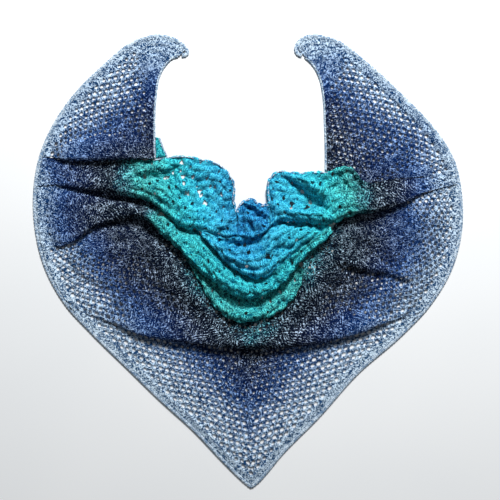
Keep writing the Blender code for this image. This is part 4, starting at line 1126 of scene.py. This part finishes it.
def plied_yarn(name, strands=STRANDS):
    """Plied wool and cotton yarn in a long gradient, crocheted."""
    material, tree, shader, place = new_material(
        name, Roughness=0.85, Specular_IOR_Level=0.06, Sheen_Weight=0.02, Sheen_Roughness=0.5,
    )
    row = add_node(tree, "ShaderNodeAttribute", attribute_name="row").outputs["Fac"]
    strand = add_node(tree, "ShaderNodeAttribute", attribute_name="strand").outputs["Fac"]

    def noise(size_mm, detail, distortion=0.0):
        return add_node(
            tree, "ShaderNodeTexNoise",
            {"Vector": place, "Scale": 1 / (size_mm * MM), "Detail": detail,
             "Distortion": distortion},
        ).outputs["Fac"]

    def maths(operation, *values, clamp=False):
        return add_node(
            tree, "ShaderNodeMath", dict(enumerate(values)), operation=operation, use_clamp=clamp,
        ).outputs[0]

    def stray(size_mm, detail, rows):
        """A number of rows by which the colour strays from place to place."""
        whole = rows / FULL_GRADIENT
        return maths("MULTIPLY_ADD", noise(size_mm, detail), whole, -whole / 2)

    shade_row = maths("ADD", maths("ADD", row, stray(*DRIFT)), stray(*BLUR))
    deep = ramp(tree, shade_row, [(r / FULL_GRADIENT, to_linear(c)) for r, c, _, _ in strands])
    light = ramp(tree, shade_row, [(r / FULL_GRADIENT, to_linear(c)) for r, _, c, _ in strands])
    share = ramp(tree, row, [(r / FULL_GRADIENT, (s, s, s, 1)) for r, _, _, s in strands])
    worms = []
    for size_mm in (FLECK, FLECK * SECOND_FLECK):
        from_middle = maths("ABSOLUTE", maths("SUBTRACT", noise(size_mm, 1, 0.8), 0.5))
        narrow = maths("MULTIPLY", from_middle, FLECK_WIDTH)
        worms.append(maths("SUBTRACT", 1.0, narrow, clamp=True))
    worm = maths("MAXIMUM", *worms)
    wavy = maths("MULTIPLY_ADD", noise(5.0, 2), PLY_WAVE, strand)
    ply = maths("SINE", maths("MULTIPLY", wavy, 2 * math.pi))
    ply = maths("MULTIPLY_ADD", ply, 0.5, 0.5)
    in_shells = maths(
        "MULTIPLY_ADD", row, FULL_GRADIENT / SHELL_BLEND, -SHELLS_FROM / SHELL_BLEND, clamp=True,
    )
    worm_part = maths("MULTIPLY_ADD", in_shells, WORM_PART[1], WORM_PART[0])
    ply_part = maths("MULTIPLY_ADD", in_shells, PLY_PART[1], PLY_PART[0])
    mixed = maths("ADD", maths("MULTIPLY", worm, worm_part), maths("MULTIPLY", ply, ply_part))
    mixed = maths("MULTIPLY_ADD", noise(FLECK * GRAIN[0], 1), GRAIN[1], mixed)
    mixed = maths("ADD", mixed, PATTERN_SHIFT)
    mixed = maths("MULTIPLY_ADD", noise(CLUMP, 1), CLUMP_PART, mixed)
    least = maths("MULTIPLY_ADD", share, -LEAST_RANGE, LEAST_RANGE)
    fleck = maths("MULTIPLY_ADD", maths("SUBTRACT", mixed, least), FLECK_EDGE, 0.5, clamp=True)
    colour = add_node(
        tree, "ShaderNodeMix", {"Factor": fleck, "A": deep, "B": light}, data_type="RGBA",
    )
    tree.links.new(colour.outputs["Result"], shader.inputs["Base Color"])
    height = maths("MULTIPLY_ADD", noise(FUZZ, 2), FUZZ_PART, mixed)
    bump = add_node(
        tree, "ShaderNodeBump",
        {"Height": height, "Strength": BUMP_STRENGTH, "Distance": BUMP_HEIGHT * MM},
    )
    tree.links.new(bump.outputs["Normal"], shader.inputs["Normal"])
    return material


yarn = plied_yarn("plied gradient yarn")
edge_yarn = plied_yarn("plied pale edging yarn", EDGE_STRANDS)
print(len(STRANDS), "colour stops in", yarn.name)

# %% [markdown]
# ## Dressing a stretch
# A stretch takes its grid, its rows and its stitch fields, and becomes one crocheted piece.
# Holes are widest where the cloth lies flat on the table, and close where it is pulled
# together over a fold.

# %% From sections to crochet
FLAT_HEIGHT = 6.5     # cloth this low lies flat, with its holes open
CLOSED_HEIGHT = 11.0  # cloth this high is pulled together
FOLD_OPENNESS = 0.25  # how far its holes still open there
PULLED_OPENNESS = 0.45   # how far the net's holes open in the hanging folds
BORDER_FADE = 2.0        # the holes reach their size over this distance from the dense border
FLAT_PIECES = ("point_panel", "left_wing", "right_wing")
BY_OUTLINE = (*FLAT_PIECES, "main_sweep")   # their rows run along the outline
FULL_RELIEF = 40.0       # a piece narrower than this has less relief
MEAN_RELIEF = 0.25
TIP_CLOSED, TIP_FADE = 48.0, 20.0   # how near a wing's tip the net is too tight for holes
CLOSING_FROM, CLOSING_OVER = 50, 25   # the rows where the darker yarn's holes get smaller
CLOSING = {"point_panel": 0.3}       # by how much, where it isn't the usual
USUAL_CLOSING = 0.2
# Holes need rows that run on evenly: these are the least and the most millimetres along the
# row to a millimetre of cloth, and the ranges over which the holes close
PULL_LEAST, PULL_LEAST_FADE = 0.45, 0.25
PULL_MOST, PULL_MOST_FADE = 1.4, 0.3


def stretch_of(values, grid):
    """How fast a field changes over the grid, per millimetre, in the faster direction."""
    fastest = np.zeros_like(values)
    for axis in (0, 1):
        moved_by = np.linalg.norm(np.gradient(grid[..., :2], axis=axis), axis=2)
        rate = np.abs(np.gradient(values, axis=axis)) / np.maximum(moved_by, 0.2)
        fastest = np.maximum(fastest, rate)
    return fastest


def hole_openness(name, x, y, z, row, distance, pull):
    """How far the net's holes open at each point of a stretch, from 0 to 1: widest where the
    cloth lies low, closed at the border, near the wing tips and where the rows are pulled."""
    low = 1 - smooth_step((z - FLAT_HEIGHT) / (CLOSED_HEIGHT - FLAT_HEIGHT))
    openness = FOLD_OPENNESS + (1 - FOLD_OPENNESS) * low
    if name not in BY_OUTLINE:
        openness = openness * PULLED_OPENNESS
    closing = CLOSING.get(name, USUAL_CLOSING)
    openness = openness * (1 - closing * smooth_step((row - CLOSING_FROM) / CLOSING_OVER))
    openness = openness * (1 - smooth_step((pull - PULL_MOST) / PULL_MOST_FADE))
    openness = openness * smooth_step((pull - PULL_LEAST) / PULL_LEAST_FADE)
    for tip in WING_TIPS.values():
        from_tip = np.hypot(x - tip[0], y - tip[1])
        openness = openness * smooth_step((from_tip - TIP_CLOSED) / TIP_FADE)
    return openness * smooth_step((distance - DENSE_BORDER) / BORDER_FADE)


def crochet(name, sections):
    """The crocheted piece of one stretch, on its body and in place of its node."""
    grid = fine_grid(sections, LARGE_STEP if name in LARGE_PIECES else CLOTH_STEP)
    x, y, z = grid[..., 0], grid[..., 1], grid[..., 2]
    standing = smooth_step((z - SKIRT) / (WALL - SKIRT))
    crumpled = np.maximum(z + crumple(name, x, y) * standing, WALL)
    grid[..., 2] = np.where(z > WALL - 0.2, crumpled, z)
    normal = grid_normals(grid)
    z = grid[..., 2]
    distance, along = from_outline(x, y)
    row = np.maximum(spread(ROWS_AT[name], x, y), 0) if name in ROWS_AT else distance
    own_u = lengths(grid[:, grid.shape[1] // 2, :2])[:, None] + 0 * x
    own_v = np.cumsum(np.linalg.norm(np.diff(grid, axis=1, prepend=grid[:, :1]), axis=2), axis=1)
    u, v = (along, distance) if name in BY_OUTLINE else (own_u, own_v)
    openness = hole_openness(name, x, y, z, row, distance, stretch_of(u, grid))
    in_shells = row > SHELLS_FROM
    gap, relief, strand = (
        np.where(in_shells, shell, net)
        for shell, net in zip(shell_stitch(own_u, own_v), net_stitch(u, v, openness))
    )
    for chosen in SHELL_GAPS.get(name, []):
        gap = np.maximum(gap, triangle_gap(x, y, chosen))
    rim = np.ones_like(gap, dtype=bool)
    rim[2:-2, 2:-2] = False
    gap = np.where(rim, -1.0, gap)
    relief = (relief - MEAN_RELIEF) * min(1.0, own_u.max() / FULL_RELIEF)
    points = grid + normal * relief[..., None]
    on_table = SKIN_WALL * np.clip(normal[..., 2], 0, 1)
    points[..., 2] = np.maximum(points[..., 2], on_table)
    columns = np.column_stack([
        points.reshape(-1, 3), row.ravel() / FULL_GRADIENT, strand.ravel(),
    ])
    columns, triangles = clipped(columns, grid_triangles(*x.shape), gap.ravel())
    first = columns[triangles[:, 1], :3] - columns[triangles[:, 0], :3]
    second = columns[triangles[:, 2], :3] - columns[triangles[:, 0], :3]
    if np.cross(first, second)[:, 2].sum() < 0:
        triangles = triangles[:, ::-1]
    piece = as_piece(f"{name}_crochet", columns, triangles, yarn)
    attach(piece, "root")
    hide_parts(name)
    print(f"{name}: {len(triangles)} triangles, {grid.shape[0]} x {grid.shape[1]} points")


# %% The stretches between the folds
EVEN = (0.0, 0.12, 0.27, 0.45, 0.63, 0.82, 1.0)
NARROW = (0.0, 0.25, 0.5, 0.75, 1.0)


def between(curve, start, end):
    """The part of a curve between two corners, as a function of the way along."""
    return lambda fractions: run_between(curve, start, end, fractions)


AT = {name: line[[0, -1], :2] for name, line in LINES.items()}
CORNERS = {  # the two corners of the edging that a stretch runs between, left or right
    ("main_sweep", "left"): (AT["arc"][0], AT["band_left"][0]),
    ("main_sweep", "right"): (AT["arc"][1], AT["right_lip"][1]),
    ("band_fold", "left"): (AT["band_left"][0], AT["left_lip"][0]),
    ("left_lobe", "left"): (AT["left_lip"][0], AT["wing_left"][0]),
    ("right_lobe", "right"): (AT["right_lip"][1], AT["wing_right"][1]),
}
STRETCHES = {  # front lines, back lines, places left out at the ends, inset, columns
    "main_sweep": (["arc"], ["band_left", "garland", "band_right", "right_lip"], (0, 0), 0, EVEN),
    "garland_fold": (["garland"], ["band_middle"], (1, 1), 0, NARROW),
    "band_fold": (["band_left", "band_middle", "band_right"], ["left_lip", "inner"], (0, 1), 0,
                  NARROW),
    "inner_fold": (["inner"], ["lobe_seam", "crumple", "pocket"], (1, 1), 0, EVEN),
    "left_lobe": (["left_lip", "lobe_seam"], ["wing_left", "lobe_left"], (0, 0), 0, EVEN),
    "crumple_lobe": (["crumple"], ["crumple_edge"], (0, 0), 2 * GAP, EVEN),
    "right_lobe": (["pocket", "right_lip"], ["lobe_right", "wing_right"], (0, 0), 0, EVEN),
}
for name, (front, back, skip, inset, columns) in STRETCHES.items():
    far, near = side(front, "far", skip, inset), side(back, "near", skip, inset)
    ends = [
        between(PANEL_EDGE, *CORNERS[name, end]) if (name, end) in CORNERS else None
        for end in ("left", "right")
    ]
    crochet(name, stretch_sections(name, far, near, *ends, columns))

# %% [markdown]
# The point is one flat layer between the border and the arc, and the wings are flat too except
# at their feet, where they hang over the lobes. Their rows run along the outline, so the net's
# holes there line up with the border as they do on the real shawl.

# %% The point, the wings and the sliver behind the left wing's foot
WING_COLUMNS = np.concatenate([np.linspace(0.0, 0.5, 8), np.linspace(0.55, 1.0, 15)])


def straight(start, end, count, height):
    """count points from start to end, all at one height and with nothing tucked in."""
    share = np.linspace(0, 1, count)[:, None]
    places = np.array(start) * (1 - share) + np.array(end) * share
    return np.hstack([places, 0 * share + height, 0 * share])


def point_sections():
    """Sections of the bottom point, from the border to the arc."""
    arc = side(["arc"], "near", (1, 1))
    share = np.linspace(0, 1, len(arc))
    edge = run_between(PANEL_EDGE, arc[0, :2], arc[-1, :2], share)
    front = np.column_stack([edge, 0 * share + WALL, 0 * share])
    return stretch_sections("point_panel", front, arc, None, None, NARROW)


def wing_sections(name, line, which):
    """Sections of a wing between its foot, the border, its neck edging and its tip."""
    foot = side([line], "far")
    outer, inner = (0, -1) if which == "left" else (-1, 0)
    tip_edge = nearest_place(PANEL_EDGE, WING_TIPS[which])
    tip_neck = WING_NECK[which][-1, :2]
    tips = [tip_edge, tip_neck]
    sides = [
        between(PANEL_EDGE, foot[outer, :2], tip_edge),
        between(WING_NECK[which], foot[inner, :2], tip_neck),
    ]
    if which == "right":
        tips, sides = tips[::-1], sides[::-1]
    return stretch_sections(name, foot, straight(*tips, len(foot), WALL), *sides, WING_COLUMNS)


def sliver_sections():
    """Sections of the sliver of neck edge behind the foot of the left wing."""
    foot, tip = (straight(*ends, 4, SLIVER_HEIGHT) for ends in (SLIVER_FOOT, SLIVER_TIP))
    return stretch_sections("neck_sliver", foot, tip, None, None, NARROW)


crochet("point_panel", point_sections())
crochet("left_wing", wing_sections("left_wing", "wing_left", "left"))
crochet("right_wing", wing_sections("right_wing", "wing_right", "right"))
crochet("neck_sliver", sliver_sections())

# %% [markdown]
# ## The borders
# The two short sides end in a dense border of single crochet, and the neck edge in one thin
# pale row. Each is a low rounded bar of stitches along its path: the bar's round section
# swells once a stitch, and the swelling slants as the loops do.

# %% Borders
STITCH = 4.4        # one single crochet along the border
BAR_SIDES = 12
BAR_STEP = 1.2
SWELL = 0.10
STRANDS_A_STITCH = 2
LOBE_TRIM = 1.9     # the trims at the lobes' free edges are this wide and high
SLIVER_TRIM = 2.6   # width of the sliver's trim
TRIM_SINK = 0.7     # the share of a trim's height that lies below its line
NECK_ENDS = (1.5, 1.0)   # left out at the two ends of a neck edge, clear of the pieces there


def bar_triangles(count):
    """Triangles of a bar of count rings, with a fan across each end."""
    ring = np.arange(count * BAR_SIDES).reshape(count, BAR_SIDES)
    nxt = np.roll(ring, -1, axis=1)
    a, b, c, d = (part.ravel() for part in (ring[:-1], ring[1:], nxt[1:], nxt[:-1]))
    triangles = [np.column_stack([a, b, c]), np.column_stack([a, c, d])]
    for end, turn in ((0, 1), (count - 1, -1)):
        foot = np.full(BAR_SIDES - 2, ring[end, 0])
        triangles.append(np.column_stack([foot, ring[end, 1:-1], ring[end, 2:]])[:, ::turn])
    return np.concatenate(triangles)


def border(name, path, height, width, turn, foot=0.0):
    """A bar along a path of x, y points (mm). At angle t round the section the bar is at
    width x (1 - cos t) / 2 across and height x (0.5 + 0.5 sin t) up, times one plus a
    swelling SWELL x cos(2 pi u / STITCH - t)."""
    long = lengths(path)
    u = np.linspace(0, long[-1], int(long[-1] / BAR_STEP) + 2)[:, None]
    angle = np.linspace(0, 2 * np.pi, BAR_SIDES, endpoint=False)[None, :]
    centre = np.column_stack([
        np.interp(u[:, 0], long, column) for column in moved(path, turn * width / 2)[:, :2].T
    ])
    base = np.interp(u[:, 0], long, foot) if np.ndim(foot) else np.full(len(u), foot)
    out = left_normals(centre)
    swell = 1 - SWELL + SWELL * np.cos(2 * np.pi * u / STITCH - angle)
    across = -np.cos(angle) * width / 2 * swell
    x = centre[:, :1] + out[:, :1] * across
    y = centre[:, 1:] + out[:, 1:] * across
    z = base[:, None] + (height / 2 + np.sin(angle) * height / 2 * swell)
    strand = u / STITCH * STRANDS_A_STITCH + 0.5 * np.sin(angle)
    columns = np.column_stack([part.ravel() for part in (x, y, z, 0 * x, strand)])
    triangles = bar_triangles(len(u))
    corners = columns[triangles, :3]
    volume = np.einsum("ij,ij->i", corners[:, 0], np.cross(corners[:, 1], corners[:, 2])).sum()
    if volume < 0:
        triangles = triangles[:, ::-1]
    piece = as_piece(name, columns, triangles, edge_yarn, wall=0)
    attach(piece, "root")
    print(f"{name}: {len(triangles)} triangles over {long[-1]:.0f} mm")
    return piece


edging = border("edging_stitches", OUTER, EDGING_HEIGHT, EDGING_WIDTH + OVERLAP, 1)
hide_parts("edging")
for wing, turn in (("left", 1), ("right", -1)):
    neck = NECKS[wing]
    reached = lengths(neck)
    kept = (reached > NECK_ENDS[0]) & (reached < reached[-1] - NECK_ENDS[1])
    trim = border(
        f"neck_edging_{wing}_stitches", neck[kept], EDGING_HEIGHT, NECK_EDGING_WIDTH + OVERLAP,
        turn,
    )
    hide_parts(f"neck_edging_{wing}")
for line_name in FREE_LINES:
    line = LINES[line_name]
    border(
        f"{line_name}_trim", line[:, :2], LOBE_TRIM, LOBE_TRIM, -1,
        foot=line[:, 2] - TRIM_SINK * LOBE_TRIM,
    )

sliver_edge = np.array([SLIVER_FOOT[1], SLIVER_BEND, SLIVER_TIP[1]])
sliver_trim = border(
    "neck_sliver_trim", sliver_edge, LOBE_TRIM, SLIVER_TRIM, -1,
    foot=SLIVER_HEIGHT - TRIM_SINK * LOBE_TRIM,
)

# %% [markdown]

# %% [markdown]
# ## The table and the light
# A plain pale table top, a large soft light from above the neck side and a little to the right,
# and an even sky. The folds' shadows then fall towards the point and to the left.

# %% Table
TABLE_SIZE = 6.0


def table_top():
    """Painted board: white, faintly uneven, half matt."""
    material, tree, shader, place = new_material(
        "white painted board", Roughness=0.6, Specular_IOR_Level=0.3,
    )
    cloud = add_node(tree, "ShaderNodeTexNoise", {"Vector": place, "Scale": 3.0, "Detail": 2.0})
    stops = [(0.3, to_linear("#eef1f3")), (0.7, to_linear("#f4f6f7"))]
    tree.links.new(ramp(tree, cloud.outputs["Fac"], stops), shader.inputs["Base Color"])
    mesh = bpy.data.meshes.new("table")
    half = TABLE_SIZE / 2
    corners = [(-half, -half, 0), (half, -half, 0), (half, half, 0), (-half, half, 0)]
    mesh.from_pydata(corners, [], [(0, 1, 2, 3)])
    mesh.materials.append(material)
    return placed("table", mesh)


table = table_top()
print("a table", TABLE_SIZE, "m across")

# %% Light
KEY = {"place": (0.30, 1.60, 1.32), "size": 0.50, "power": 67.0}
SKY = 0.14


def soft_light(place, size, power):
    """A square area light that faces the shawl's middle."""
    data = bpy.data.lights.new("soft window", "AREA")
    data.shape = "SQUARE"
    data.size = size
    data.energy = power
    light = placed("soft window", data)
    light.location = place
    tilt = math.atan2(math.hypot(place[0], place[1]), place[2])
    light.rotation_euler = (tilt, 0.0, math.atan2(-place[1], -place[0]) - math.pi / 2)


soft_light(**KEY)
world = bpy.data.worlds.new("studio")
bpy.context.scene.world = world
world.use_nodes = True
sky = world.node_tree.nodes["Background"]
sky.inputs["Color"].default_value = to_linear("#f3f6fa")
sky.inputs["Strength"].default_value = SKY
bpy.context.scene.view_settings.view_transform = "Standard"
